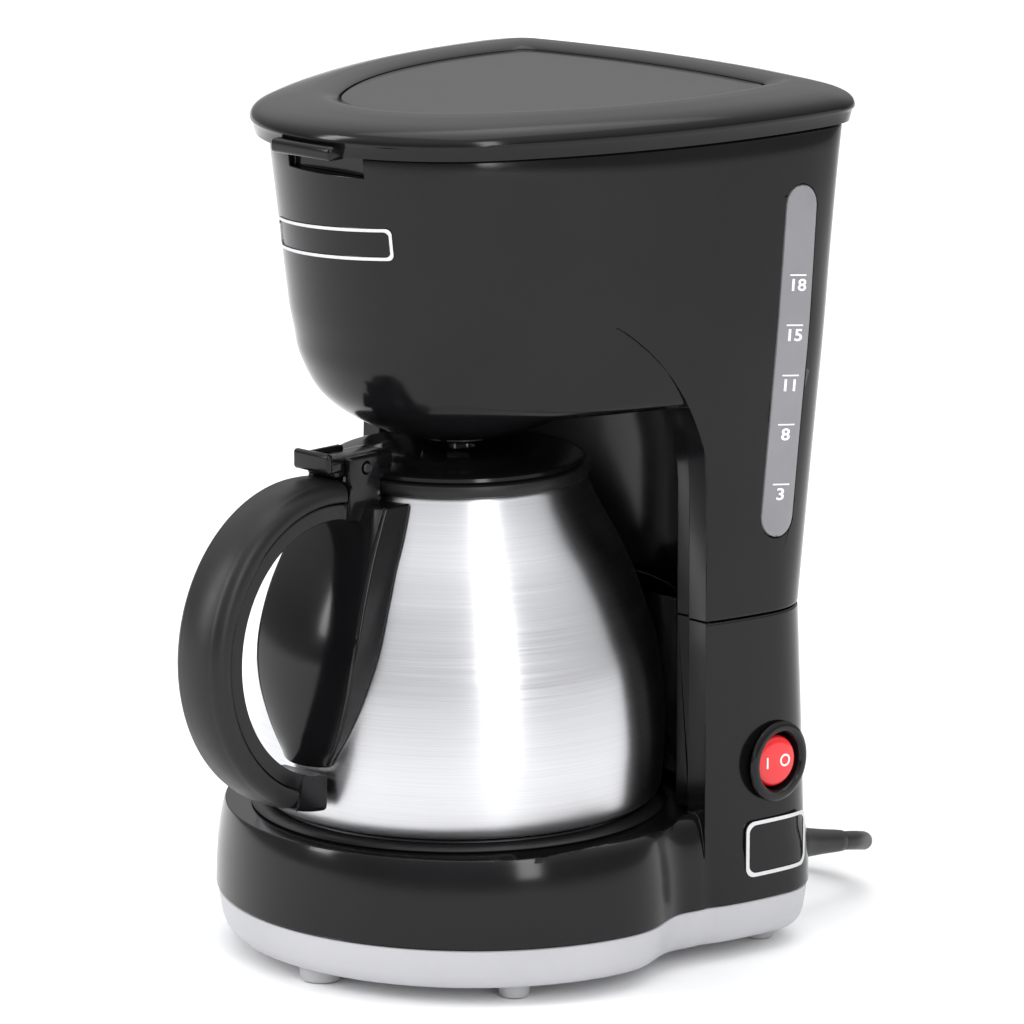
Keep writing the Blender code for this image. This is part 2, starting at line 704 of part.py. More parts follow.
def drip_stop():
    """Valve plunger, its spring and the cage that holds both in the basket."""
    stem = ((2.0, VALVE_TIP), (3.4, VALVE_TIP + 0.6), (3.4, 164.3), (7.4, 164.3), (7.4, 165.7), (2.4, 165.8),
            (2.0, 167.2))
    turned("drip_valve", stem, silicone(), segments=SMALL_ROUND, pivot=(0, 0, VALVE_TIP))
    path = []
    steps = 44
    for i in range(steps + 1):
        a = 2 * math.pi * 4 * i / steps
        out = Vector((math.cos(a), math.sin(a), 0))
        path.append((out * 4.4 + Vector((0, 0, SPRING_LOW + 0.45 + (SPRING_RISE - 0.9) * i / steps)), out,
                     Vector((0, 0, 1))))
    section = [(0.4 * math.cos(a), 0.4 * math.sin(a)) for a in (math.pi * k / 3 for k in range(6))]
    sweep("drip_spring", path, section, steel(), (0, 0, SPRING_LOW + SPRING_RISE))
    cage = ((0.8, 173.2), (8.5, 173.2), (8.5, 164.3), (9.7, 164.3), (9.7, 173.6), (9.0, 174.4))
    cup = turned("valve_cage", cage, matte_black(), segments=24)
    combine(cup, box("cut_cage_x", (-12, -2.2, 166.4), (12, 2.2, 171.0), matte_black()))
    combine(cup, box("cut_cage_y", (-2.2, -12, 166.3), (2.2, 12, 171.1), matte_black()))
    skirt = ((8.6, 156.4), (10.6, 156.4), (11.2, 156.9), (11.2, 158.0), (8.6, 158.0))
    turned_ring("spout_ring", skirt, gloss_black(), segments=32)


def water_path():
    """Check valve, hoses, heater, riser and the shower over the basket."""
    valve = ((4.4, 97.6), (4.4, 104.6), (5.8, 105.0), (5.8, 109.4), (7.2, 109.4), (7.2, 111.4), (6.0, 112.4))
    turned("check_valve", valve, natural_plastic(), (-HOSE_X, HOSE_Y), SMALL_ROUND)
    inlet = ((-HOSE_X, HOSE_Y, 97.3), (-HOSE_X, HOSE_Y, 70), (-HOSE_X, HOSE_Y, 48), (-38, 63, 35),
             (-27, 60.5, 29.8), (-20, 54.6, 30.0), (-20, 49.7, 32.4))
    pipe("inlet_hose", smooth_route(inlet, 9), 4.6, silicone(), 2)
    outlet = ((20, 49.7, 32.4), (20, 54.6, 30.0), (27, 60.5, 29.8), (38, 63, 35), (HOSE_X, HOSE_Y, 48),
              (HOSE_X, HOSE_Y, 79.6))
    pipe("outlet_hose", smooth_route(outlet, 9), 4.6, silicone(), 2)
    arc = [(38 * math.cos(a), 38 * math.sin(a), 40.8) for a in (math.radians(46 - 34 * i) for i in range(9))]
    route = [(20, 49.2, 32.7), (20, 42.5, 36.0), (22.5, 34.5, 40.2)] + arc[:-1]
    route += [(38 * math.cos(math.radians(134)), 38 * math.sin(math.radians(134)), 40.8)]
    route += [(-22.5, 34.5, 40.2), (-20, 42.5, 36.0), (-20, 49.2, 32.7)]
    pipe("heating_element", smooth_route(route, 9), 3.9, aluminium(), 2)
    riser = ((HOSE_X, HOSE_Y, 80), (HOSE_X, HOSE_Y, 160), (HOSE_X, HOSE_Y, 240), (41.5, 60.4, 249.4),
             (36, 52.4, 252.0), (26, 37.8, 252.0), (8.9, 12.9, 252.0))
    pipe("riser_tube", smooth_route(riser, 14), 2.3, natural_plastic(), 2)
    head = ((13.4, 248.4), (14.6, 249.0), (14.6, 252.4), (12.0, 254.4))
    turned("shower_head", head, matte_black(), segments=24)
    for name, x, z in (("hose_clamp_left", -HOSE_X, 88.0), ("hose_clamp_right", HOSE_X, 68.0)):
        ring = ((4.95, z), (5.9, z), (5.9, z + 6), (4.95, z + 6))
        turned_ring(name, ring, steel(), (x, HOSE_Y), SMALL_ROUND)


def hot_plate():
    plate = ((55.4, 45.2), (56.6, 45.5), (57.0, 46.1), (56.6, 46.8), (56.0, PLATE_TOP))
    turned("warming_plate", plate, dark_steel(), segments=ROUND)
    seal = ((57.4, 42.0), (60.6, 42.0), (60.6, 44.8), (62.6, 44.8), (62.4, 45.5), (59.4, 46.5), (57.4, 46.2))
    turned_ring("plate_seal", seal, matte_black(), segments=ROUND)
    bar = box("plate_bracket", (-58, -6, 33.6), (58, 6, 35.6), steel())
    combine(bar, turned("cut_bracket", ((2.4, 32), (2.4, 37)), steel(), (0, 0), 16))
    screw = ((2.0, 30.6), (3.8, 31.2), (3.8, 33.3), (2.0, 33.3), (2.0, 44.8))
    turned("plate_screw", screw, steel(), segments=12)
    turned("thermostat", ((7.6, 37.4), (7.6, 43.6), (6.8, 44.9)), natural_plastic(), (0, 15), SMALL_ROUND)
    pipe("thermal_fuse", [(-13, -11, 42), (0, -11, 42), (13, -11, 42)], 2.0, brass(), 2)


# ---- switch and mains ------------------------------------------------------------------------
def switch():
    mat = gloss_black()
    face = half_width(housing_outline(SWITCH_Z), SWITCH_Y)
    start = (face - 9.0, SWITCH_Y, SWITCH_Z)
    profile = ((9.6, 0.0), (9.6, 9.5), (12.2, 9.5), (12.2, 10.2), (11.4, 10.9), (9.6, 10.9))
    bezel = spindle("switch_bezel", profile, mat, start, (1, 0, 0), 28)
    combine(bezel, spindle("cut_bezel", ((8.8, -1), (8.8, 12)), mat, start, (1, 0, 0), 28))
    axis = (face - 4.6, SWITCH_Y, SWITCH_Z)
    lean = (math.cos(ROCKER_LEAN), math.sin(ROCKER_LEAN), 0)
    profile = ((6.6, -1.5), (7.7, -0.6), (7.8, 4.2), (7.0, 5.3), (3.5, 5.6))
    spindle("rocker", profile, red_plastic(), axis, lean, 28, axis)
    box("switch_body", (face - 24, SWITCH_Y - 8, SWITCH_Z - 8), (face - 9.4, SWITCH_Y + 8, SWITCH_Z + 8),
        matte_black(), bevel=1.0)


def back_wall(outline, x):
    """Y of an outline's rear side at x."""
    best = 0.0
    for a, b in zip(outline, outline[1:]):
        if min(a.x, b.x) <= x <= max(a.x, b.x) and a.x != b.x:
            best = max(best, a.y + (b.y - a.y) * (x - a.x) / (b.x - a.x))
    return best


def cord_route(start):
    """Centre line of the cord, from its strain relief to the side of its coil."""
    first = start + CORD_AXIS * 0.3
    return smooth_route([first, first + CORD_AXIS * 4.0, *CORD_RUN], 8)


def mains():
    """Terminal block, strain relief, cord, the coil of its spare length and the plug."""
    box("terminal_block", (-14, 60, 22), (10, 70, 33), natural_plastic(), bevel=0.8)
    wall = Vector((CORD_EXIT_X, back_wall(base_outline(), CORD_EXIT_X), CORD_EXIT_Z))
    profile = ((4.2, -4.6), (4.2, 1.3), (5.4, 1.7), (5.1, 6.0), (3.5, RELIEF_LENGTH))
    spindle("strain_relief", profile, cord_black(), wall, CORD_AXIS)
    pipe("power_cord", cord_route(wall + CORD_AXIS * RELIEF_LENGTH), CORD_RADIUS, cord_black(), 2)
    section = [(COIL_RADIUS + 6.2 * math.cos(a), 6.2 + 6.0 * math.sin(a))
               for a in (math.pi * k / 4 for k in range(8))]
    turned_ring("cord_coil", section, cord_black(), COIL_CENTRE, 36)
    plug_x = COIL_CENTRE[0] - COIL_RADIUS - 3.0
    plug_y = COIL_CENTRE[1] + 24.0
    profile = ((3.6, 0.0), (5.0, 10.0), (8.0, 13.0), (10.4, 18.0), (10.4, 34.0), (9.4, 35.0))
    body = spindle("plug", profile, cord_black(), (plug_x, plug_y, 11.0), (0, 1, 0), 24)
    for side, x in (("left", plug_x - 6.4), ("right", plug_x + 6.4)):
        low = (x - 0.8, plug_y + 34.0, 8.0)
        blade = box("add_blade_" + side, low, (x + 0.8, plug_y + 53.0, 14.0), brass())
        combine(body, blade, "UNION")


# ---- carafe -----------------------------------------------------------------------------------
def carafe_radius(z):
    for (r0, z0), (r1, z1) in zip(CARAFE, CARAFE[1:]):
        if z0 <= z <= z1:
            return r0 + (r1 - r0) * (z - z0) / (z1 - z0)
    return CARAFE[-1][0]


def carafe_body():
    inner = [(radius - STEEL, z) for radius, z in reversed(CARAFE[3::2])]
    inner += [(60.0, 52.0), (58.6, 49.4), (56.6, CARAFE_BOTTOM + STEEL)]
    return turned("carafe_body", (*CARAFE, *inner), steel(), segments=ROUND)


def carafe_top():
    mat = matte_black()
    collar = ((36.7, 145.8), (38.9, 145.8), (39.6, 146.5), (39.6, 148.9), (38.9, 149.5), (36.7, 149.5))
    turned_ring("carafe_collar", collar, mat)
    hinge = (0, CARAFE_HINGE_Y, CARAFE_HINGE_Z)
    profile = ((4.6, 139.5), (35.8, 139.5), (36.2, 140.0), (36.2, 149.8), (37.4, 149.8), (37.2, 151.2),
               (34.0, 151.7), (26.0, 152.1), (22.0, 153.2), (4.6, 153.5))
    cap = turned_ring("carafe_lid", profile, mat, pivot=hinge)
    combine(cap, box("add_root", (-5.7, -39.6, 150.0), (5.7, -33.4, 154.5), mat), "UNION")
    combine(cap, box("add_arm", (-6.1, -57, 152.9), (6.1, -33, 158.2), mat), "UNION")
    combine(cap, box("add_thumb", (-7.5, -67, 154.6), (7.5, -54.4, 160.2), mat, bevel=1.4), "UNION")
    start = (-20, CARAFE_HINGE_Y, CARAFE_HINGE_Z)
    combine(cap, spindle("cut_lid_pin", ((1.8, 0), (1.8, 40)), mat, start, (1, 0, 0), 16))
    pin = ((1.2, 0.0), (1.5, 0.3), (1.5, 19.3), (1.2, 19.6))
    spindle("carafe_lid_pin", pin, steel(), (-9.8, CARAFE_HINGE_Y, CARAFE_HINGE_Z), (1, 0, 0), 12)


def handle_ring(angle, inner, outer, half_width_x, edge):
    """Section of the handle between two ellipses at an angle round its centre."""
    a = math.radians(angle)
    low, high = 0.0, 1.0
    cut = edge / (outer[0] - inner[0])
    section = ((-1, 0, low), (1, 0, low), (1, 0, high - cut), (1, -1, high), (-1, 1, high),
               (-1, 0, high - cut))
    ring = []
    for side, tuck, s in section:
        ry = inner[0] + (outer[0] - inner[0]) * s
        rz = inner[1] + (outer[1] - inner[1]) * s
        x = side * half_width_x + tuck * edge
        ring.append((x, HANDLE_CENTRE_Y + ry * math.cos(a), HANDLE_CENTRE_Z + rz * math.sin(a)))
    return ring


def handle_frame():
    """Inner loop of the handle, thick where it joins the carafe."""
    mat = gloss_black()
    rings = []
    for angle in (62, 70, 79):
        rings.append(handle_ring(angle, HANDLE_INNER, HANDLE_OUTER, HANDLE_HALF_WIDTH, 1.0))
    for i in range(23):
        angle = 79.6 + (251.4 - 79.6) * i / 22
        rings.append(handle_ring(angle, HANDLE_INNER, HANDLE_MIDDLE, HANDLE_HALF_WIDTH, 0.6))
    for angle in (252, 260, 267.5):
        rings.append(handle_ring(angle, HANDLE_INNER, HANDLE_OUTER, HANDLE_HALF_WIDTH, 1.0))
    frame = loft("handle_frame", rings, mat)
    for side, x in (("left", -HANDLE_HALF_WIDTH), ("right", 6.5)):
        ear = box("add_hinge_" + side, (x, -53.5, 146.0), (x + HANDLE_HALF_WIDTH - 6.5, -41.0, 159.0), mat)
        combine(frame, ear, "UNION")
    start = (-20, CARAFE_HINGE_Y, CARAFE_HINGE_Z)
    combine(frame, spindle("cut_hinge_pin", ((1.8, 0), (1.8, 40)), mat, start, (1, 0, 0), 16))
    hole = turned("cut_handle_screw", ((3.1, 50), (3.1, 57.9), (1.8, 57.9), (1.8, 64.2)), mat, (0, -70), 16)
    combine(frame, hole)
    screw = ((2.4, 55.9), (2.8, 56.2), (2.8, 57.6), (1.5, 57.6), (1.5, 63.9))
    turned("handle_screw", screw, steel(), (0, -70), 12)


def handle_grip():
    middle = (HANDLE_MIDDLE[0] + GAP, HANDLE_MIDDLE[1] + GAP)
    rings = []
    for i in range(25):
        angle = 80.4 + (250.6 - 80.4) * i / 24
        rings.append(handle_ring(angle, middle, HANDLE_OUTER, HANDLE_HALF_WIDTH + 0.6, 2.4))
    return loft("handle_grip", rings, matte_black())


def handle_strap():
    """Curved plate between the handle's two arms, lying on the carafe."""
    rings = []
    for i in range(14):
        z = 67.5 + (144.0 - 67.5) * i / 13
        radius = carafe_radius(z)
        spread = 18.0 / radius
        angles = [-math.pi / 2 + spread * (k / 4 - 1) for k in range(9)]
        ring = [((radius + 2.6) * math.cos(a), (radius + 2.6) * math.sin(a), z) for a in angles]
        ring += [((radius + 0.4) * math.cos(a), (radius + 0.4) * math.sin(a), z) for a in reversed(angles)]
        rings.append(ring)
    return loft("handle_strap", rings, gloss_black())


def centre_on_origin():
    """Shift the assembly so that its width and depth are centred on the origin."""
    for obj in bpy.data.objects:
        obj.location += Vector(CENTRE_SHIFT) * MM


def main():
    clear_scene()
    base_screws(base_pan())
    feet()
    lower_housing()
    upper_housing()
    gauge_window()
    side_badge()
    front_badge()
    lid()
    lid_panel()
    lid_pins()
    filter_basket()
    drip_stop()
    water_path()
    hot_plate()
    switch()
    mains()
    carafe_body()
    carafe_top()
    handle_frame()
    handle_grip()
    handle_strap()
    centre_on_origin()


main()
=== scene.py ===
"""Looks of a drip coffee maker with a steel carafe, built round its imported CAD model.

Lengths are in millimetres about the carafe's axis; they are scaled to metres and
shifted to the row frame when a mesh is made. The front, with the carafe's handle,
looks along -Y, and the water gauge and the switch are on +X.
"""

import json
import math

import bmesh
import bpy
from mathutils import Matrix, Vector

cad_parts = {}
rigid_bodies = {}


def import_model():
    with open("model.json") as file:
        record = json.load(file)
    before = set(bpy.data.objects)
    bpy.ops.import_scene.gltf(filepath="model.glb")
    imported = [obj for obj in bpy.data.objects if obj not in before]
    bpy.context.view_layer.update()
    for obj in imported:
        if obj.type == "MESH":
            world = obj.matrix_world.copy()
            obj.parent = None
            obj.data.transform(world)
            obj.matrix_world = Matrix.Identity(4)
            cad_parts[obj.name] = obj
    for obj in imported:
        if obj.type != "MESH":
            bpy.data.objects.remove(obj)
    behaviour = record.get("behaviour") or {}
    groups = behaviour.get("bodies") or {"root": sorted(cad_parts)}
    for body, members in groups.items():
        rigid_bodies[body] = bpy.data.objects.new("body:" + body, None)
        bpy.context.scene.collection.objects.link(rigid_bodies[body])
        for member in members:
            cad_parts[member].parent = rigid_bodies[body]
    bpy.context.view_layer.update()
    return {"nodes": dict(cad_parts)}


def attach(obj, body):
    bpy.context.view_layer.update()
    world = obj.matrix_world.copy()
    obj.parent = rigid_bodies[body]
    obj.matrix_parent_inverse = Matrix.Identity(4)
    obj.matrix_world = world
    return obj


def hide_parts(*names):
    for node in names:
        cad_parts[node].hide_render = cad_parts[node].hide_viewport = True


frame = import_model()

MM = 0.001
GAP = 0.3
WALL = 2.6
BORE_RADIUS = 1.8
FAR = 120.0                    # past every wall, for cutters
SHIFT = Vector((-0.56, -0.11, 0.0))        # carafe axis in the row frame

# ---- resolution ----
OUTLINE_POINTS = 240
ROUND = 160
SMALL_ROUND = 64

# ---- sizes, the same as the CAD model's ----
PAN_BOTTOM = 5.0
SKIRT_BOTTOM = 18.0
RIM_TOP = 46.5
SEAM = 106.0
HOUSING_TOP = 249.0
LID_BOTTOM = 249.5
LID_EDGE = 252.7
LID_CREST = 260.8
CREST_INSET = 17
FACE_SHRINK = 46
LID_CENTRE = Vector((0, 34))

DRUM_RADIUS = 78.6
DRUM_CENTRE_Y = 7.0
RIM_INNER_RADIUS = 72.3
NOTCH_Y = 20.0
NOTCH_DEPTH = 5.2
NOTCH_SPREADS = (13.0, 9.0)

BAY_RADIUS = 67.5
BAY_DOME_CENTRE = 143.0
BAY_DOME_RISE = 75.0
MOUTH_DOME_RISE = 85.7
MOUTH_STEPS = ((72.5, 33.5), (79.2, 31.0))

PLATE_RADIUS = 57.0
PLATE_TOP = 46.9
CARAFE_BOTTOM = 47.3
CARAFE_TOP = 145.4
STEEL = 1.2

HANDLE_CENTRE_Y = -62.0
HANDLE_CENTRE_Z = 103.5
HANDLE_OUTER = (46.0, 49.0)
HANDLE_MIDDLE = (40.2, 43.0)
HANDLE_INNER = (35.5, 38.2)
HANDLE_HALF_WIDTH = 9.2
HANDLE_TOP_ARM = (62.0, 17.0)  # degrees round the handle's centre: start and span
HANDLE_LOOP = (79.6, 251.4)    # degrees: start and end
HANDLE_LOW_ARM = (252.0, 15.5)
HANDLE_GRIP = (80.4, 250.6)
ARM_STEPS = 8
LOOP_STEPS = 72
HINGE_EAR_X = 6.5

LID_HINGE_Y = 101.5
LID_HINGE_Z = 250.8
CARAFE_HINGE_Y = -47.0
CARAFE_HINGE_Z = 155.4

SWITCH_Y = 56.0
SWITCH_Z = 60.0
ROCKER_FACE = 5.05
ROCKER_MARK_HEIGHT = 0.5
ROCKER_LEAN = math.radians(-8.0)
CORD_RADIUS = 2.9
CORD_EXIT_X = 60.0
CORD_EXIT_Z = 25.2
CORD_AXIS = Vector((0.0, 0.987, -0.163))
RELIEF_LENGTH = 24.3
COIL_CENTRE = (-80.0, 150.0)
COIL_RADIUS = 32.0
PLUG_Z = 11.0
CORD_RUN = ((59.2, 114.2, 19.8), (56.5, 120.6, 17.9), (52.4, 125.9, 15.9), (47.0, 130.0, 14.0),
            (40.7, 132.6, 12.2), (34.0, 133.4, 10.6), (17.5, 131.6, 7.4), (0.0, 126.5, 4.4),
            (-20.0, 118.6, 3.1), (-40.0, 111.9, 3.0), (-60.0, 108.9, 3.0), (-80.0, 108.5, 3.0))

HOSE_X = 44.0
HOSE_Y = 64.0
TANK_FRONT_Y = 36.2
CHAMBER_WALL_RADIUS = 51.6
FUNNEL_FOOT = 190.0
FUNNEL_EASE = 9.0
FLANK_START = -40.0            # degrees from the side towards the back, where the hood widens
FLANK_SPAN = 50.0
FLANK_KEEP = 0.72
MERGE_START = 34.0             # degrees, where the hood goes back to the bowl's round plan
MERGE_SPAN = 16.0
EAR_X = 36.0
EAR_WIDTH = 5.5
GAUGE_LINE = ((56.5, 135.0), (68.0, 227.0))
GAUGE_WIDTH = 12.4
MARKS = ((206.4, "18"), (191.6, "15"), (176.7, "11"), (162.1, "8"), (144.3, "3"))
NUMBER_HEIGHT = 3.5
NUMBER_SCALE = 1.42            # font size for each unit of a numeral's height
NUMBER_STRETCH = 1.45
NUMBER_DROP = 0.9
MARK_WIDTH = 6.6
MARK_HEIGHT = 0.42
PRINT_LIFT = 0.32
PRINT_THICKNESS = 0.08

FRONT_EMBLEM = (27.3, 4.75)    # half sizes
FRONT_EMBLEM_Z = 222.0
FRONT_EMBLEM_TILT = 0.06
FRONT_EMBLEM_OFFSET = 4.3
FRONT_EMBLEM_INSET = 2.2
SIDE_EMBLEM = (12.6, 8.6)
SIDE_EMBLEM_Y = 57.0
SIDE_EMBLEM_Z = 34.0
SIDE_EMBLEM_SINK = 0.35
EMBLEM_LIFT = (0.05, 0.45)

BOWL = ((16.0, 158.4), (24.0, 160.5), (33.1, 165.0), (39.6, 169.8), (43.8, 175.0), (47.6, 183.3),
        (48.8, 189.4), (49.6, 194.0))
CHAMBER = ((7.6, 157.0), (7.6, 161.0), (20.0, 161.4), (31.4, 166.0), (38.5, 172.0), (44.3, 185.0),
           (45.8, 195.0), (46.3, 241.0), (48.9, 241.2), (48.9, 251.0))
CARAFE = ((57.0, CARAFE_BOTTOM), (59.6, 48.2), (61.2, 51.0), (62.2, 61.0), (62.5, 70.5), (61.7, 82.0),
          (60.1, 93), (57.4, 102), (53.8, 113), (51.3, 119), (48.3, 125.5), (43.5, 134), (40, 141),
          (38.2, CARAFE_TOP))
FEET = (("foot_front", 0, -58, 6.6), ("foot_left", -53, -30, 4.7), ("foot_right", 53, -30, 4.7),
        ("foot_rear_left", -63, 66, 4.7), ("foot_rear_right", 63, 66, 4.7))
SCREWS = ((-46, -14), (46, -14), (-46, 62), (46, 62))
SHIELD = ((67.5, 9.0, -63.6), (78.0, 15.0, -64.4), (90.0, 19.4, -64.6), (102.0, 21.0, -63.4),
          (116.0, 20.4, -59.6), (130.0, 18.4, -53.4), (144.0, 16.0, -45.6))

# ---- camera ----
CAMERA_TURN = 44.932           # degrees round from the front towards +X
CAMERA_PAN = -0.473
CAMERA_PITCH = 12.839
CAMERA_DISTANCE = 1.8987       # metres in plan
CAMERA_HEIGHT = 0.5658
SENSOR = 36.0
LENS = 228.53

# ---- light and floor ----
LIGHTS = (("left_strip", (-1.0, -1.85, 1.15), (0, 0, 0.12), 0.45, 26, 1.5),
          ("right_strip", (2.05, -0.8, 1.0), (0, 0, 0.1), 0.42, 20, 1.6),
          ("top", (0.0, 0.4, 2.6), (0, 0, 0.1), 2.4, 26, None))
SKY = (0.98, 0.985, 1.0)
SKY_RISE = (("From Min", 0.15), ("From Max", 0.75), ("To Min", 0.42), ("To Max", 1.35))
FLOOR_COLOUR = (0.9, 0.9, 0.9)
FLOOR_REACH = 9.0
FLOOR_Z = -0.0002

# ---- finishes ----
GLOSS_COLOUR = (0.0052, 0.0048, 0.0054)
FINE_GRAIN = 2600.0
NOISE_LOW = 0.3
NOISE_HIGH = 0.7


def make_camera():
    data = bpy.data.cameras.new("camera")
    data.sensor_width = SENSOR
    data.lens = LENS
    data.clip_end = 50.0
    camera = bpy.data.objects.new("camera", data)
    turn = math.radians(CAMERA_TURN)
    camera.location = (CAMERA_DISTANCE * math.sin(turn), -CAMERA_DISTANCE * math.cos(turn), CAMERA_HEIGHT)
    heading = math.radians(CAMERA_TURN + CAMERA_PAN)
    pitch = math.radians(CAMERA_PITCH)
    forward = Vector((-math.sin(heading) * math.cos(pitch), math.cos(heading) * math.cos(pitch),
                      -math.sin(pitch)))
    camera.rotation_mode = "QUATERNION"
    camera.rotation_quaternion = forward.to_track_quat("-Z", "Y")
    bpy.context.collection.objects.link(camera)
    bpy.context.scene.camera = camera


# ---- mesh tools ----
def to_frame(point):
    return (Vector(point) + SHIFT) * MM


def make_object(name, verts, faces, mat):
    """A closed mesh object from millimetre points."""
    mesh = bpy.data.meshes.new(name)
    mesh.from_pydata([to_frame(v) for v in verts], [], faces)
    bm = bmesh.new()
    bm.from_mesh(mesh)
    bmesh.ops.recalc_face_normals(bm, faces=bm.faces)
    bm.to_mesh(mesh)
    bm.free()
    mesh.materials.append(mat)
    obj = bpy.data.objects.new(name, mesh)
    bpy.context.collection.objects.link(obj)
    return obj


def strip_faces(levels, count, closed):
    """Quads between equal-length rings of points."""
    faces = []
    for level in range(levels if closed else levels - 1):
        low = level * count
        high = (level + 1) % levels * count
        for i in range(count):
            j = (i + 1) % count
            faces.append([low + i, low + j, high + j, high + i])
    return faces


def loft(name, rings, mat):
    """Skin equal-length rings of points and cap the first and the last."""
    count = len(rings[0])
    verts = [point for ring in rings for point in ring]
    faces = strip_faces(len(rings), count, False)
    faces.append(list(range(count)))
    faces.append(list(range(len(verts) - count, len(verts))))
    return make_object(name, verts, faces, mat)


def closed_loft(name, rings, mat):
    """Skin rings whose last one joins the first again."""
    verts = [point for ring in rings for point in ring]
    return make_object(name, verts, strip_faces(len(rings), len(rings[0]), True), mat)


def circle(radius, z, centre=(0, 0), segments=ROUND):
    step = 2 * math.pi / segments
    angles = [step * (i + 0.5) for i in range(segments)]
    return [(centre[0] + radius * math.cos(a), centre[1] + radius * math.sin(a), z) for a in angles]


def turned(name, profile, mat, centre=(0, 0), segments=ROUND):
    return loft(name, [circle(r, z, centre, segments) for r, z in profile], mat)


def turned_ring(name, profile, mat, centre=(0, 0), segments=ROUND):
    return closed_loft(name, [circle(r, z, centre, segments) for r, z in profile], mat)


def spindle_rings(profile, start, axis, segments):
    turn = Vector((0, 0, 1)).rotation_difference(Vector(axis)).to_matrix()
    base = Vector(start)
    return [[base + turn @ Vector(p) for p in circle(r, d, (0, 0), segments)] for r, d in profile]


def spindle(name, profile, mat, start, axis, segments=SMALL_ROUND):
    """Turn (radius, distance) pairs about the line from start along axis."""
    return loft(name, spindle_rings(profile, start, axis, segments), mat)


def spindle_ring(name, profile, mat, start, axis, segments=SMALL_ROUND):
    return closed_loft(name, spindle_rings(profile, start, axis, segments), mat)


def box(name, low, high, mat, bevel=0.0):
    (x0, y0, z0), (x1, y1, z1) = low, high
    ring = [(x0, y0), (x1, y0), (x1, y1), (x0, y1)]
    obj = loft(name, [[(x, y, z0) for x, y in ring], [(x, y, z1) for x, y in ring]], mat)
    if bevel:
        soften(obj, bevel)
    return obj


def soften(obj, width, segments=4, angle=40, clamp=True):
    mod = obj.modifiers.new("soften", "BEVEL")
    mod.width = width * MM
    mod.segments = segments
    mod.limit_method = "ANGLE"
    mod.angle_limit = math.radians(angle)
    mod.use_clamp_overlap = clamp
    mod.harden_normals = False


def combine(obj, other, operation="DIFFERENCE"):
    mod = obj.modifiers.new(operation.lower(), "BOOLEAN")
    mod.operation = operation
    mod.object = other
    mod.solver = "EXACT"
    other["cutter"] = True
    return obj


def drop_cutters():
    for obj in list(bpy.data.objects):
        if obj.get("cutter"):
            bpy.data.objects.remove(obj, do_unlink=True)


def settle(obj, edge=0.0, segments=2, angle=32):
    """Fix the modifiers' result as the mesh, shade it, and round its sharp edges."""
    if obj.modifiers:
        graph = bpy.context.evaluated_depsgraph_get()
        mesh = bpy.data.meshes.new_from_object(obj.evaluated_get(graph))
        obj.modifiers.clear()
        obj.data = mesh
        drop_cutters()
        bm = bmesh.new()
        bm.from_mesh(mesh)
        bmesh.ops.remove_doubles(bm, verts=bm.verts, dist=0.00002)
        bmesh.ops.dissolve_degenerate(bm, edges=bm.edges, dist=0.00001)
        bm.to_mesh(mesh)
        bm.free()
    obj.data.shade_smooth()
    obj.data.set_sharp_from_angle(angle=math.radians(angle))
    if edge:
        soften(obj, edge, segments, angle + 6, False)
        obj.modifiers["soften"].harden_normals = True
    return obj


def place(obj, body, slot, *nodes):
    """Say which body a piece rides on and the CAD nodes it stands for; slot, its finish, is not used."""
    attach(obj, body)
    if nodes:
        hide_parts(*nodes)
    return obj


def smooth_route(route, spacing):
    """Points about spacing apart on a smooth curve through the route's points."""
    knots = [Vector(p) for p in route]
    knots = [2 * knots[0] - knots[1]] + knots + [2 * knots[-1] - knots[-2]]
    points = [knots[1]]
    for a, b, c, d in zip(knots, knots[1:], knots[2:], knots[3:]):
        steps = max(1, round((c - b).length / spacing))
        for i in range(1, steps + 1):
            t = i / steps
            points.append(0.5 * (2 * b + (c - a) * t + (2 * a - 5 * b + 4 * c - d) * t ** 2
                                 + (3 * b - a - 3 * c + d) * t ** 3))
    return points


def smooth_profile(profile, spacing=1.5):
    """(radius, height) pairs on a smooth curve through the given ones."""
    return [(p.x, p.y) for p in smooth_route([(r, z, 0) for r, z in profile], spacing)]


# ---- plan outlines, the same formulas as the CAD model's ----
def resample(points, count):
    loop = [Vector(p) for p in points] + [Vector(points[0])]
    lengths = [0.0]
    for a, b in zip(loop, loop[1:]):
        lengths.append(lengths[-1] + (b - a).length)
    result = []
    k = 0
    for i in range(count):
        target = lengths[-1] * i / count
        while lengths[k + 1] < target:
            k += 1
        share = (target - lengths[k]) / (lengths[k + 1] - lengths[k])
        result.append(loop[k].lerp(loop[k + 1], share))
    return result


def inset(outline, distance):
    """Move every point of a counter-clockwise outline inwards."""
    count = len(outline)
    moved = []
    for i, point in enumerate(outline):
        along = (outline[(i + 1) % count] - outline[i - 1]).normalized()
        moved.append(point - Vector((along.y, -along.x)) * distance)
    return moved


def arc_centre(front, front_radius, rear, rear_radius, radius):
    a = radius - front_radius
    b = radius - rear_radius
    line = rear - front
    span = line.length
    along = (a * a - b * b + span * span) / (2 * span)
    across = math.sqrt(a * a - along * along)
    unit = line / span
    return front + unit * along + Vector((-unit.y, unit.x)) * across


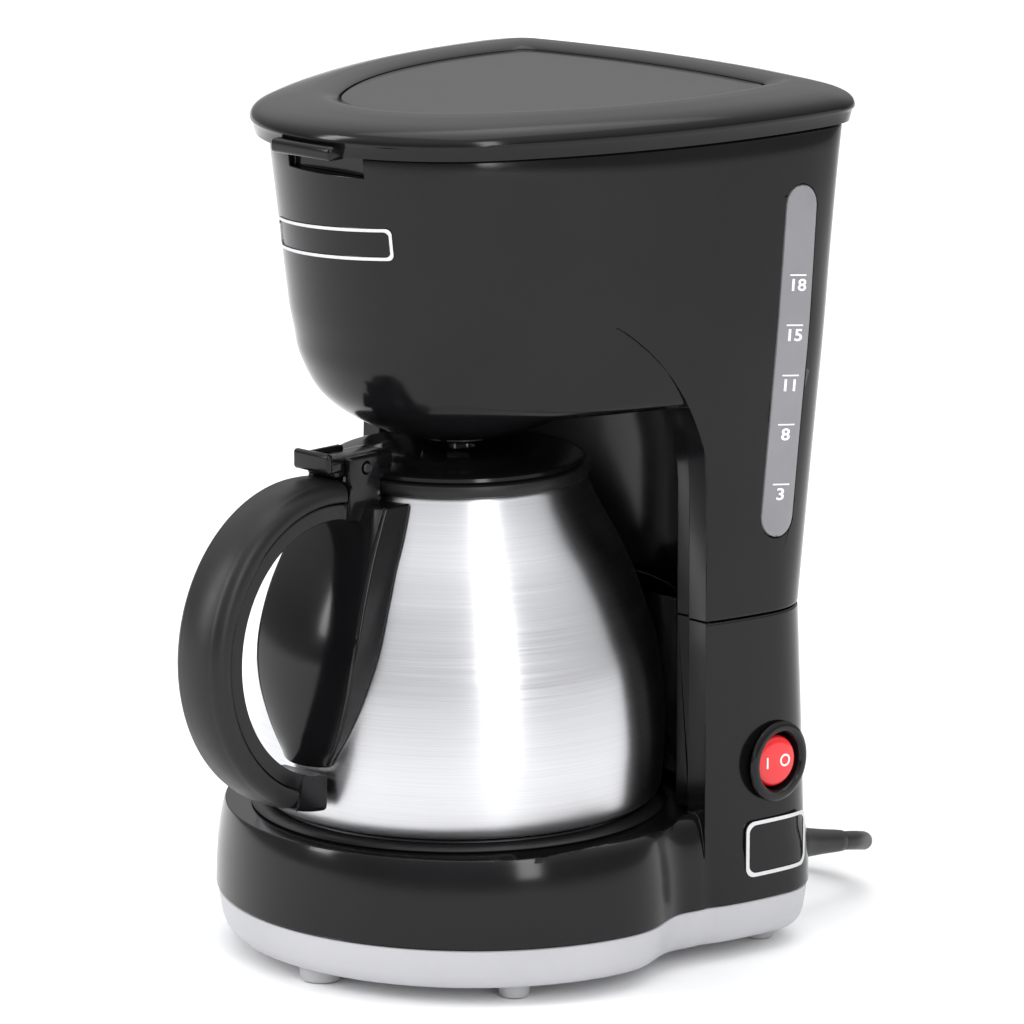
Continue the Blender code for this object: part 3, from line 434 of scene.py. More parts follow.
def rounded_triangle(front_radius, front_y, rear_radius, rear_x, rear_y, side_radius, back_radius):
    """Outline of three bowed sides and three corner arcs, symmetric in x."""
    front = Vector((0, front_y))
    rear = Vector((rear_x, rear_y))
    side = arc_centre(front, front_radius, rear, rear_radius, side_radius)
    reach = back_radius - rear_radius
    back = Vector((0, rear_y - math.sqrt(reach * reach - rear_x * rear_x)))
    turn_1 = math.atan2(front.y - side.y, front.x - side.x)
    turn_2 = math.atan2(rear.y - side.y, rear.x - side.x)
    turn_3 = math.atan2(rear.y - back.y, rear.x - back.x)
    arcs = ((front, front_radius, -math.pi / 2, turn_1), (side, side_radius, turn_1, turn_2),
            (rear, rear_radius, turn_2, turn_3), (back, back_radius, turn_3, math.pi / 2))
    half = []
    steps = 60
    for centre, radius, start, end in arcs:
        for i in range(steps):
            a = start + (end - start) * i / steps
            half.append(centre + Vector((math.cos(a), math.sin(a))) * radius)
    half.append(back + Vector((0, back_radius)))
    mirror = [Vector((-p.x, p.y)) for p in reversed(half[1:-1])]
    return resample(half + mirror, OUTLINE_POINTS)


def blend_outlines(first, second, share):
    return [a.lerp(b, share) for a, b in zip(first, second)]


LID_PLAN = rounded_triangle(58.5, -4.0, 16.0, 62.0, 83.0, 234, 229)
CREST_PLAN = rounded_triangle(40.2, -4.1, 7.0, 52.0, 81.4, 140, 270)
TOP_PLAN = rounded_triangle(53.0, -4.0, 14.0, 61.4, 81.0, 215, 225)
FUNNEL_PLAN = rounded_triangle(49.0, -0.5, 17.0, 60.8, 70.2, 170, 260)
COLUMN_PLAN = rounded_triangle(47.0, 0.0, 20.0, 58.5, 57.5, 140, 300)
FOOT_PLAN = rounded_triangle(47.0, 0.0, 20.5, 59.1, 62.2, 140, 300)
PLAN_LEVELS = ((SKIRT_BOTTOM, FOOT_PLAN), (SEAM, COLUMN_PLAN), (FUNNEL_FOOT, FUNNEL_PLAN),
               (HOUSING_TOP, TOP_PLAN))


def straight_outline(z):
    for (z0, first), (z1, second) in zip(PLAN_LEVELS, PLAN_LEVELS[1:]):
        if z <= z1:
            return blend_outlines(first, second, (z - z0) / (z1 - z0))
    return TOP_PLAN


def housing_outline(z):
    """Plan of the column and the funnel at height z, with its slope eased at the funnel's foot."""
    near = abs(z - FUNNEL_FOOT)
    if near >= FUNNEL_EASE:
        return straight_outline(z)
    spread = (FUNNEL_EASE - near) / 2
    return blend_outlines(straight_outline(z - spread), straight_outline(z + spread), 0.5)


def half_width(outline, y):
    best = 0.0
    for a, b in zip(outline, outline[1:]):
        if a.x >= 0 and b.x >= 0 and min(a.y, b.y) <= y <= max(a.y, b.y) and a.y != b.y:
            share = (y - a.y) / (b.y - a.y)
            best = max(best, a.x + (b.x - a.x) * share)
    return best


def wall_y(outline, x, pick):
    """Y of an outline at x: of its front side if pick is min, of its back if it is max."""
    best = 0.0
    for a, b in zip(outline, outline[1:] + outline[:1]):
        if min(a.x, b.x) <= x <= max(a.x, b.x) and a.x != b.x:
            best = pick(best, a.y + (b.y - a.y) * (x - a.x) / (b.x - a.x))
    return best


def drum_outline():
    """The drum and the foot of the column, with the waist between them."""
    front_edge = DRUM_CENTRE_Y - DRUM_RADIUS
    back_edge = max(p.y for p in FOOT_PLAN)
    half = [Vector((0, front_edge))]
    steps = 400
    for i in range(1, steps):
        y = (front_edge + back_edge) / 2 - (back_edge - front_edge) / 2 * math.cos(math.pi * i / steps)
        reach = DRUM_RADIUS ** 2 - (y - DRUM_CENTRE_Y) ** 2
        drum = math.sqrt(reach) if reach > 0 else 0.0
        spread = NOTCH_SPREADS[0] if y < NOTCH_Y else NOTCH_SPREADS[1]
        waist = NOTCH_DEPTH * math.exp(-((y - NOTCH_Y) / spread) ** 2)
        half.append(Vector((max(drum, half_width(FOOT_PLAN, y)) - waist, y)))
    half.append(Vector((0, back_edge)))
    mirror = [Vector((-p.x, p.y)) for p in reversed(half[1:-1])]
    return resample(half + mirror, OUTLINE_POINTS)


BASE_PLAN = drum_outline()


def at_height(outline, z):
    return [(p.x, p.y, z) for p in outline]


def plan_rings(levels, shape):
    return [at_height(inset(shape(z), d), z) for z, d in levels]


# ---- materials ----
def new_material(name, colour, roughness, metallic=0.0):
    mat = bpy.data.materials.new(name)
    mat.use_nodes = True
    nodes = mat.node_tree.nodes
    shader = nodes["Principled BSDF"]
    shader.inputs["Base Color"].default_value = (*colour, 1.0)
    shader.inputs["Roughness"].default_value = roughness
    shader.inputs["Metallic"].default_value = metallic
    return mat, nodes, mat.node_tree.links, shader


def noise(nodes, links, scale, detail=3.0, stretch=(1, 1, 1)):
    """A noise texture in object space, in features per metre."""
    coords = nodes.new("ShaderNodeTexCoord")
    mapping = nodes.new("ShaderNodeMapping")
    mapping.inputs["Scale"].default_value = stretch
    texture = nodes.new("ShaderNodeTexNoise")
    texture.inputs["Scale"].default_value = scale
    texture.inputs["Detail"].default_value = detail
    links.new(coords.outputs["Object"], mapping.inputs["Vector"])
    links.new(mapping.outputs["Vector"], texture.inputs["Vector"])
    return texture.outputs["Fac"]


def vary_colour(nodes, links, shader, source, colour, spread):
    ramp = nodes.new("ShaderNodeValToRGB")
    ramp.color_ramp.elements[0].position = NOISE_LOW
    ramp.color_ramp.elements[1].position = NOISE_HIGH
    ramp.color_ramp.elements[0].color = (*[c * (1 - spread) for c in colour], 1)
    ramp.color_ramp.elements[1].color = (*[min(1, c * (1 + spread)) for c in colour], 1)
    links.new(source, ramp.inputs["Fac"])
    links.new(ramp.outputs["Color"], shader.inputs["Base Color"])


def vary_roughness(nodes, links, shader, source, low, high):
    span = nodes.new("ShaderNodeMapRange")
    span.inputs["From Min"].default_value = NOISE_LOW
    span.inputs["From Max"].default_value = NOISE_HIGH
    span.inputs["To Min"].default_value = low
    span.inputs["To Max"].default_value = high
    links.new(source, span.inputs["Value"])
    links.new(span.outputs["Result"], shader.inputs["Roughness"])


def add_bump(nodes, links, shader, source, strength, depth):
    bump = nodes.new("ShaderNodeBump")
    bump.inputs["Strength"].default_value = strength
    bump.inputs["Distance"].default_value = depth * MM
    links.new(source, bump.inputs["Height"])
    links.new(bump.outputs["Normal"], shader.inputs["Normal"])


def moulded(name, colour, roughness, grain, depth, spread=0.12, specular=0.5, coat=0.0):
    """Moulded plastic: faint flow marks, uneven gloss and a fine skin."""
    mat, nodes, links, shader = new_material(name, colour, roughness)
    shader.inputs["Specular IOR Level"].default_value = specular
    shader.inputs["Coat Weight"].default_value = coat
    shader.inputs["Coat Roughness"].default_value = 0.08
    broad = noise(nodes, links, 34.0)
    vary_colour(nodes, links, shader, broad, colour, spread)
    vary_roughness(nodes, links, shader, noise(nodes, links, 90.0), roughness * 0.88, roughness * 1.12)
    add_bump(nodes, links, shader, noise(nodes, links, grain), 0.5, depth)
    return mat


def brushed(name, colour, low, high, stretch, anisotropy, depth=0.02):
    """Metal brushed along the directions in which stretch is small."""
    mat, nodes, links, shader = new_material(name, colour, low, 1.0)
    shader.inputs["Anisotropic"].default_value = anisotropy
    shader.inputs["Anisotropic Rotation"].default_value = 0.25
    tangent = nodes.new("ShaderNodeTangent")
    tangent.direction_type = "RADIAL"
    tangent.axis = "Z"
    links.new(tangent.outputs["Tangent"], shader.inputs["Tangent"])
    lines = noise(nodes, links, 1.0, 4.0, stretch)
    vary_colour(nodes, links, shader, lines, colour, 0.07)
    vary_roughness(nodes, links, shader, lines, low, high)
    add_bump(nodes, links, shader, lines, 0.25, depth)
    return mat


def make_finishes():
    """One material for each slot of the record."""
    return {
        "gloss_black": moulded("gloss_black", GLOSS_COLOUR, 0.15, FINE_GRAIN, 0.002, 0.15, 0.25),
        "matte_black": moulded("matte_black", (0.0078, 0.0074, 0.0080), 0.4, 1500.0, 0.02, 0.15, 0.3),
        "grey_plastic": moulded("grey_plastic", (0.44, 0.44, 0.46), 0.42, 1700.0, 0.015, 0.03),
        "natural_plastic": moulded("natural_plastic", (0.62, 0.60, 0.54), 0.45, 1500.0, 0.02, 0.05),
        "steel": brushed("steel", (0.66, 0.66, 0.675), 0.29, 0.36, (20, 20, 3200), 0.72, 0.006),
        "dark_steel": brushed("dark_steel", (0.05, 0.05, 0.052), 0.34, 0.48, (900, 900, 900), 0.0),
        "aluminium": brushed("aluminium", (0.70, 0.71, 0.72), 0.32, 0.46, (700, 700, 120), 0.0),
        "chrome": brushed("chrome", (0.60, 0.60, 0.61), 0.2, 0.28, (1200, 1200, 1200), 0.0, 0.004),
        "brass": brushed("brass", (0.72, 0.53, 0.24), 0.22, 0.34, (1100, 1100, 200), 0.0),
        "rubber": moulded("rubber", (0.42, 0.42, 0.43), 0.62, 1800.0, 0.02, 0.05, 0.3),
        "silicone": moulded("silicone", (0.60, 0.58, 0.55), 0.5, 1500.0, 0.02, 0.04),
        "red_plastic": moulded("red_plastic", (0.72, 0.012, 0.016), 0.22, FINE_GRAIN, 0.004, 0.08, 0.5,
                               0.3),
        "smoke_clear": moulded("smoke_clear", (0.20, 0.20, 0.21), 0.24, FINE_GRAIN, 0.003, 0.10, 0.45,
                               0.3),
        "cord_black": moulded("cord_black", (0.009, 0.0086, 0.009), 0.42, 1400.0, 0.02, 0.15, 0.35),
    }


FINISH = {}
PRINT = {}


# ---- cord ----
TURNS = 4
TURN_POINTS = 28
OUTER_TURN = COIL_RADIUS + CORD_RADIUS + 0.15
INNER_TURN = COIL_RADIUS - CORD_RADIUS - 0.15
LOW_TURN = 3.0
HIGH_TURN = 9.0


def ease(t):
    t = min(1.0, max(0.0, t))
    return t * t * (3 - 2 * t)


def coil_route():
    """Four turns, two above two, from the cord's run round to the plug."""
    stations = ((0.0, COIL_RADIUS + 9.5, LOW_TURN), (0.4, OUTER_TURN, LOW_TURN), (1.0, OUTER_TURN, LOW_TURN),
                (1.3, INNER_TURN, LOW_TURN), (2.05, INNER_TURN, LOW_TURN), (2.35, INNER_TURN, HIGH_TURN),
                (3.0, INNER_TURN, HIGH_TURN), (3.3, OUTER_TURN, HIGH_TURN),
                (TURNS + 0.1, OUTER_TURN, HIGH_TURN))
    points = []
    total = round((TURNS + 0.1) * TURN_POINTS)
    for i in range(1, total + 1):
        t = i / TURN_POINTS
        for (t0, r0, z0), (t1, r1, z1) in zip(stations, stations[1:]):
            if t <= t1 + 1e-6:
                share = ease((t - t0) / (t1 - t0))
                break
        radius = r0 + (r1 - r0) * share
        a = -math.pi / 2 - 2 * math.pi * t
        points.append(Vector((COIL_CENTRE[0] + radius * math.cos(a), COIL_CENTRE[1] + radius * math.sin(a),
                              z0 + (z1 - z0) * share)))
    return points


def cord_and_plug():
    black = FINISH["cord_black"]
    wall = Vector((CORD_EXIT_X, wall_y(BASE_PLAN, CORD_EXIT_X, max), CORD_EXIT_Z))
    profile = ((4.2, -4.6), (4.2, 1.3), (5.1, 1.4), (5.4, 1.7), (5.35, 3.0), (4.9, 4.6), (4.4, 9.0),
               (3.9, 15.0), (3.5, 21.5), (3.3, RELIEF_LENGTH - 0.3), (3.0, RELIEF_LENGTH))
    relief = settle(spindle("strain_relief_boot", profile, black, wall, CORD_AXIS, 48), 0.0, 2, 50)
    place(relief, "body", "cord_black", "strain_relief")

    exit_point = wall + CORD_AXIS * (RELIEF_LENGTH + 0.3)
    run = smooth_route([exit_point, exit_point + CORD_AXIS * 4.0, *CORD_RUN], 5)
    plug_x = COIL_CENTRE[0] - COIL_RADIUS - 3.0
    plug_y = COIL_CENTRE[1] + 24.0
    last = Vector((plug_x, plug_y + 0.5, PLUG_Z))
    coil = coil_route()
    while coil[-1].y > last.y - 26.0 or coil[-1].x > COIL_CENTRE[0]:
        coil.pop()
    tail = smooth_route([coil[-2], coil[-1], last - Vector((0, 6, 0)), last], 4)[1:]
    route = run + coil + tail[1:]
    curve = bpy.data.curves.new("mains_cord", "CURVE")
    curve.dimensions = "3D"
    curve.bevel_depth = CORD_RADIUS * MM
    curve.bevel_resolution = 6
    curve.use_fill_caps = True
    spline = curve.splines.new("POLY")
    spline.points.add(len(route) - 1)
    for knot, point in zip(spline.points, route):
        knot.co = (*to_frame(point), 1.0)
    spline.use_smooth = True
    curve.materials.append(black)
    cord = bpy.data.objects.new("mains_cord", curve)
    bpy.context.collection.objects.link(cord)
    place(cord, "body", "cord_black", "power_cord", "cord_coil")

    start = (plug_x, plug_y, PLUG_Z)
    profile = [(3.4, 0.0), (3.6, 0.4)]
    for i in range(5):
        profile += [(rib + 0.15 * i, rise + 2 * i) for rib, rise in ((4.5, 1.2), (4.7, 2.4), (4.0, 2.7))]
    profile += smooth_profile(((5.4, 11.4), (8.0, 13.6), (10.0, 17.6), (10.4, 20.0), (10.4, 33.0),
                               (10.1, 34.4), (9.4, 35.0)), 1.0)
    plug = settle(spindle("plug_body", profile, black, start, (0, 1, 0), 72), 0.0, 2, 40)
    place(plug, "body", "cord_black", "plug")
    for side, x in (("left", plug_x - 6.4), ("right", plug_x + 6.4)):
        low = (x - 0.8, plug_y + 35.2, 8.0)
        pin = settle(box("plug_pin_" + side, low, (x + 0.8, plug_y + 53.0, 14.0), FINISH["brass"]), 0.4, 3)
        place(pin, "body", "brass")


# ---- base ----
def base_pan():
    levels = ((PAN_BOTTOM, 5.6), (PAN_BOTTOM + 0.5, 4.3), (PAN_BOTTOM + 1.2, 3.4), (PAN_BOTTOM + 2.8, 2.4),
              (PAN_BOTTOM + 5, 1.6), (PAN_BOTTOM + 9, 1.0), (SKIRT_BOTTOM - GAP - 0.3, 0.5),
              (SKIRT_BOTTOM - GAP, 0.8), (SKIRT_BOTTOM - GAP, 2.6), (PAN_BOTTOM + 5, 4.4),
              (PAN_BOTTOM + 2.2, 7.4))
    pan = loft("floor_pan", plan_rings(levels, lambda z: BASE_PLAN), FINISH["grey_plastic"])
    for x, y in SCREWS:
        combine(pan, turned("cut_screw", ((2.2, PAN_BOTTOM - 1), (2.2, PAN_BOTTOM + 4)),
                            FINISH["grey_plastic"], (x, y), 32))
    place(settle(pan), "body", "grey_plastic", "base_pan")
    for name, x, y, radius in FEET:
        profile = ((radius - 1.6, 0.25), (radius - 1.2, 0), (radius - 0.6, 0.25), (radius - 0.2, 0.9),
                   (radius, PAN_BOTTOM - GAP))
        foot = settle(turned(name + "_pad", profile, FINISH["rubber"], (x, y), 48), 0.25)
        place(foot, "body", "rubber", name)


# ---- housings ----
def dome_radius(radius, rise, z):
    if z <= BAY_DOME_CENTRE:
        return radius
    return radius * math.sqrt(1 - ((z - BAY_DOME_CENTRE) / rise) ** 2)


def arc_points(radius, start, end, steps):
    angles = [start + (end - start) * i / steps for i in range(steps + 1)]
    return [(radius * math.cos(a), radius * math.sin(a)) for a in angles]


def mouth_ring(z):
    """Plan of the bay with the two steps of its mouth, at height z."""
    (step_1, y_1), (step_2, y_2) = MOUTH_STEPS
    wall = max(40.0, dome_radius(BAY_RADIUS, BAY_DOME_RISE, z))
    step_1 = dome_radius(step_1, MOUTH_DOME_RISE, z)
    step_2 = dome_radius(step_2, MOUTH_DOME_RISE, z)
    half = arc_points(step_2, -math.pi / 2, math.asin(y_2 / step_2), 40)
    half += arc_points(step_1, math.asin(y_2 / step_1), math.asin(y_1 / step_1), 2)
    half += arc_points(wall, math.asin(y_1 / wall), math.pi / 2, 36)
    mirror = [(-x, y) for x, y in reversed(half[1:-1])]
    return [(x, y, z) for x, y in half + mirror]


def bay_cutter(name, bottom, top, mat):
    """The space for the carafe: straight walls, then a dome round the bowl."""
    steps = 24
    heights = [BAY_DOME_CENTRE + (205.3 - BAY_DOME_CENTRE) * math.sin(math.pi / 2 * i / steps)
               for i in range(steps + 1)]
    heights = [bottom] + [z for z in heights if z < top] + [top]
    return loft(name, [mouth_ring(z) for z in heights], mat)


def dome(name, radius, bottom, rise, mat):
    steps = 20
    heights = [BAY_DOME_CENTRE + rise * 0.78 * i / steps for i in range(steps + 1)]
    return turned(name, [(radius, bottom)] + [(dome_radius(radius, rise, z), z) for z in heights], mat)


def polar_radius(outline, angle):
    """Distance from the axis to an outline in a direction."""
    ux, uy = math.cos(angle), math.sin(angle)
    for a, b in zip(outline, outline[1:] + outline[:1]):
        side_a = ux * a.y - uy * a.x
        side_b = ux * b.y - uy * b.x
        if side_a <= 0 < side_b and ux * (a.x + b.x) + uy * (a.y + b.y) > 0:
            share = side_a / (side_a - side_b)
            return ux * (a.x + (b.x - a.x) * share) + uy * (a.y + (b.y - a.y) * share)
    return 0.0


def hood_ring(radius, z):
    """Underside of the hood at height z: round in front, out to the side walls beside the bay."""
    outline = housing_outline(z)
    depth = -wall_y(outline, 0, min) - radius
    ring = []
    for i in range(ROUND):
        a = 2 * math.pi * (i + 0.5) / ROUND
        turn = math.degrees(math.atan2(math.sin(a), abs(math.cos(a))))
        flank = ease((turn - FLANK_START) / FLANK_SPAN) * ease((15 - depth) / 10)
        side = polar_radius(outline, a) - depth * (1 - FLANK_KEEP * flank)
        share = 1 - ease((turn - MERGE_START) / MERGE_SPAN)
        shallow = ease((16 - depth) / 9)
        r = radius + (side - radius) * share * shallow
        ring.append((r * math.cos(a), r * math.sin(a), z))
    return ring


def hood(name, mat):
    above = ((49.75, 194.0), (51.0, 200.0), (52.3, 206.0), (53.5, 212.0))
    profile = smooth_profile((*BOWL[:-1], *above), 1.8)
    return loft(name, [hood_ring(r, z) for r, z in profile], mat)


def lower_housing():
    """Drum skirt, carafe well and the foot of the column."""
    mat = FINISH["gloss_black"]
    top = RIM_TOP
    levels = ((SKIRT_BOTTOM, 0.5), (SKIRT_BOTTOM + 0.4, 0.0), (25.0, 0.15), (32.0, 0.6), (38.0, 1.4),
              (top - 3.4, 2.4), (top - 1.6, 3.1), (top - 0.7, 3.7), (top - 0.2, 4.5), (top, 5.6))
    shell = loft("lower_shell", plan_rings(levels, lambda z: BASE_PLAN), mat)
    column_levels = ((SKIRT_BOTTOM + 6, 1.2), (top, 0.6), (60.0, 0.4), (76.0, 0.2), (90.0, 0.1),
                     (SEAM - GAP - 0.5, 0.0), (SEAM - GAP, 0.5))
    column = loft("add_column", plan_rings(column_levels, housing_outline), mat)
    combine(column, bay_cutter("cut_bay_low", SKIRT_BOTTOM, SEAM + 1, mat))
    combine(shell, column, "UNION")
    opening = PLATE_RADIUS + 4.0
    profile = ((opening, 30), (opening, 44.4), (RIM_INNER_RADIUS - 1, 44.5), (RIM_INNER_RADIUS - 0.3, 44.8),
               (RIM_INNER_RADIUS, 45.4), (RIM_INNER_RADIUS + 0.2, top + 0.5))
    combine(shell, turned("cut_well", profile, mat))
    inner_levels = ((SKIRT_BOTTOM - 1, 2.6), (32.0, 3.2), (41.6, 5.4))
    combine(shell, loft("cut_skirt", plan_rings(inner_levels, lambda z: BASE_PLAN), mat))
    chimney = loft("cut_chimney", plan_rings(((40.0, 3.4), (SEAM - 3, WALL)), housing_outline), mat)
    combine(chimney, turned("cut_chimney_bay", ((BAY_RADIUS + WALL, 39), (BAY_RADIUS + WALL, SEAM)), mat))
    combine(chimney, box("cut_chimney_front", (-FAR, -FAR, 39), (FAR, TANK_FRONT_Y, SEAM), mat))
    combine(shell, chimney)
    start = (60, SWITCH_Y, SWITCH_Z)
    combine(shell, spindle("cut_switch", ((10.0, 0), (10.0, 30)), mat, start, (1, 0, 0)))
    wall = (CORD_EXIT_X, wall_y(BASE_PLAN, CORD_EXIT_X, max), CORD_EXIT_Z)
    combine(shell, spindle("cut_cord", ((5.0, -14), (5.0, 12)), mat, wall, CORD_AXIS))
    for x in (-HOSE_X, HOSE_X):
        combine(shell, turned("cut_roof", ((7.0, SEAM - 8), (7.0, SEAM + 2)), mat, (x, HOSE_Y), 48))
    place(settle(shell, 0.35), "body", "gloss_black", "lower_housing")


def tank_cutter(mat):
    levels = [(z, WALL) for z in (SEAM + 3, 150.0, 175.0, FUNNEL_FOOT, 220.0)] + [(251.0, 3.0)]
    tank = loft("cut_tank", plan_rings(levels, housing_outline), mat)
    combine(tank, dome("cut_tank_bay", BAY_RADIUS + WALL, SEAM, BAY_DOME_RISE + WALL, mat))
    combine(tank, turned("cut_tank_chamber", ((CHAMBER_WALL_RADIUS, 140), (CHAMBER_WALL_RADIUS, 253)), mat))
    return combine(tank, box("cut_tank_front", (-FAR, -FAR, 100), (FAR, TANK_FRONT_Y, 255), mat))


def pin_bore(name, mat, start, length=40):
    """Cutter along X for a hinge pin's hole."""
    return spindle(name, ((BORE_RADIUS, 0), (BORE_RADIUS, length)), mat, start, (1, 0, 0), 32)


def lid_bore(name, mat):
    half = EAR_X + EAR_WIDTH + 0.8
    return pin_bore(name, mat, (-half, LID_HINGE_Y, LID_HINGE_Z), 2 * half)


def wall_slab(name, mat, line, width, proud, depth, stations=41):
    """A rounded slab that follows the right wall along a line."""
    (y0, z0), (y1, z1) = line
    run = math.hypot(y1 - y0, z1 - z0)
    along = ((y1 - y0) / run, (z1 - z0) / run)
    radius = width / 2
    rings = []
    for i in range(stations):
        s = run / 2 - (run / 2 + 0.999 * radius) * math.cos(math.pi * i / (stations - 1))
        over = max(0.0, -s, s - run)
        half = math.sqrt(radius * radius - over * over)
        ring = []
        spots = [(k / 4, proud) for k in range(-4, 5)] + [(k / 4, depth) for k in range(4, -5, -1)]
        for side, lift in spots:
            y = y0 + along[0] * s - side * half * along[1]
            z = z0 + along[1] * s + side * half * along[0]
            ring.append((half_width(housing_outline(z), y) + lift, y, z))
        rings.append(ring)
    return loft(name, rings, mat)


def upper_housing():
    """Water tank, filter chamber and the dome over the carafe."""
    mat = FINISH["gloss_black"]
    steps = 24
    low, high = SEAM + 0.6, HOUSING_TOP - 1.0
    levels = [(SEAM, 0.5)] + [(low + (high - low) * i / steps, 0.0) for i in range(steps + 1)]
    levels += [(HOUSING_TOP - 0.3, 0.3), (HOUSING_TOP, 0.9)]
    shell = loft("upper_shell", plan_rings(levels, housing_outline), mat)
    bay = bay_cutter("cut_bay_high", SEAM - 1, 211.0, mat)
    combine(bay, hood("cut_hood", mat))
    combine(shell, bay)
    combine(shell, turned("cut_chamber", CHAMBER, mat))
    combine(shell, tank_cutter(mat))
    for x in (-HOSE_X, HOSE_X):
        combine(shell, turned("cut_floor", ((6.2, SEAM - 1), (6.2, SEAM + 4)), mat, (x, HOSE_Y), 48))
    combine(shell, wall_slab("cut_gauge", mat, GAUGE_LINE, GAUGE_WIDTH + 2 * GAP, 2.0, -5.0))
    combine(shell, box("cut_back_relief", (-60, 99.0, 242.0), (60, 120, 251), mat))
    combine(shell, box("cut_tab", (-15.5, -80, 243.0), (15.5, -51.5, 251), mat))
    for x in (-EAR_X - EAR_WIDTH, EAR_X):
        ear = box("add_ear", (x, 96.5, 243.5), (x + EAR_WIDTH, 103.3, 252.5), mat)
        combine(shell, ear, "UNION")
    combine(shell, lid_bore("cut_ear_bore", mat))
    place(settle(shell, 0.35), "body", "gloss_black", "upper_housing")


# ---- gauge and badges ----
def gauge_point(height, across, up, lift):
    """A point on the gauge's face beside and above its centre line at a height."""
    (y0, z0), (y1, z1) = GAUGE_LINE
    run = math.hypot(y1 - y0, z1 - z0)
    lean = ((y1 - y0) / run, (z1 - z0) / run)
    y = y0 + (height - z0) * lean[0] / lean[1] + lean[0] * up + lean[1] * across
    z = height + lean[1] * up - lean[0] * across
    return (half_width(housing_outline(z), y) + lift, y, z)


def text_mesh(body, size, thickness):
    """Closed mesh of a number, centred, in millimetres."""
    curve = bpy.data.curves.new("number", "FONT")
    curve.body = body
    curve.size = size
    curve.align_x = "CENTER"
    curve.extrude = thickness
    curve.offset = 0.035 * size * 0.5
    curve.resolution_u = 6
    obj = bpy.data.objects.new("number", curve)
    bpy.context.collection.objects.link(obj)
    graph = bpy.context.evaluated_depsgraph_get()
    mesh = bpy.data.meshes.new_from_object(obj.evaluated_get(graph))
    verts = [tuple(v.co) for v in mesh.vertices]
    faces = [list(p.vertices) for p in mesh.polygons]
    bpy.data.objects.remove(obj, do_unlink=True)
    bpy.data.meshes.remove(mesh)
    return verts, faces


def gauge():
    window = wall_slab("gauge_lens", FINISH["smoke_clear"], GAUGE_LINE, GAUGE_WIDTH, 0.3, -2.4)
    place(settle(window, 0.35, 3), "body", "smoke_clear", "gauge_window")
    half = PRINT_THICKNESS / 2
    for height, number in MARKS:
        verts, faces = text_mesh(number, NUMBER_HEIGHT * NUMBER_SCALE, half)
        points = [gauge_point(height, x * NUMBER_STRETCH, y - NUMBER_HEIGHT - NUMBER_DROP,
                              PRINT_LIFT + half + z) for x, y, z in verts]
        digits = make_object("gauge_number_" + number, points, faces, PRINT["white"])
        place(settle(digits), "body", "smoke_clear")
        steps = 8
        rings = []
        for i in range(steps + 1):
            across = MARK_WIDTH * (i / steps - 0.5)
            corners = ((0, 0), (MARK_HEIGHT, 0), (MARK_HEIGHT, PRINT_THICKNESS), (0, PRINT_THICKNESS))
            rings.append([gauge_point(height, across, up, PRINT_LIFT + lift) for up, lift in corners])
        bar = loft("gauge_bar_" + number, rings, PRINT["white"])
        place(settle(bar), "body", "smoke_clear")


def rounded_rectangle(half_u, half_v, radius, steps=10):
    points = []
    for cx, cy, start in ((1, -1, -90), (1, 1, 0), (-1, 1, 90), (-1, -1, 180)):
        for i in range(steps + 1):
            a = math.radians(start + 90 * i / steps)
            points.append((cx * (half_u - radius) + radius * math.cos(a),
                           cy * (half_v - radius) + radius * math.sin(a)))
    return points


def densify(points, spacing):
    result = []
    for a, b in zip(points, points[1:] + points[:1]):
        steps = max(1, math.ceil(math.dist(a, b) / spacing))
        result += [(a[0] + (b[0] - a[0]) * i / steps, a[1] + (b[1] - a[1]) * i / steps)
                   for i in range(steps)]
    return result


def badge_outline(name, outer, inner, surface, low, high, mat):
    """A raised ring between two equal-length outlines laid on a surface."""
    rings = []
    for (u0, v0), (u1, v1) in zip(outer, inner):
        rings.append([surface(u0, v0, low), surface(u0, v0, high),
                      surface(u1, v1, high), surface(u1, v1, low)])
    return closed_loft(name, rings, mat)


def front_surface(u, v, lift):
    """A point u round and v up from the middle of the front badge."""
    z = FRONT_EMBLEM_Z + v + FRONT_EMBLEM_TILT * u
    outline = housing_outline(z)
    radius = -wall_y(outline, 0, min) - FRONT_EMBLEM_INSET
    a = -math.pi / 2 + (u - FRONT_EMBLEM_OFFSET) / radius
    x = radius * math.cos(a)
    y = wall_y(outline, x, min)
    return (x + lift * math.cos(a), y + lift * math.sin(a), z)


def side_surface(u, v, lift):
    """A point u back and v up from the middle of the side badge."""
    y = SIDE_EMBLEM_Y + u
    return (half_width(BASE_PLAN, y) - SIDE_EMBLEM_SINK + lift, y, SIDE_EMBLEM_Z + v)


def badges():
    for name, node, surface, size, corner, width in (
            ("front_emblem", "front_badge", front_surface, FRONT_EMBLEM, 1.8, 0.95),
            ("side_emblem", "side_badge", side_surface, SIDE_EMBLEM, 3.0, 1.15)):
        outer = densify(rounded_rectangle(*size, corner), 1.2)
        inner = [(u * (1 - width / size[0]), v * (1 - width / size[1])) for u, v in outer]
        ring = badge_outline(name, outer, inner, surface, *EMBLEM_LIFT, FINISH["chrome"])
        place(settle(ring), "body", "chrome", node)


# ---- lid ----
def lid_ring(d, z):
    """Lid plan d inside its edge: to the crest outline, then shrinking on."""
    if d <= CREST_INSET:
        return at_height(blend_outlines(LID_PLAN, CREST_PLAN, d / CREST_INSET), z)
    factor = 1 - (d - CREST_INSET) / FACE_SHRINK
    return at_height([LID_CENTRE + (p - LID_CENTRE) * factor for p in CREST_PLAN], z)


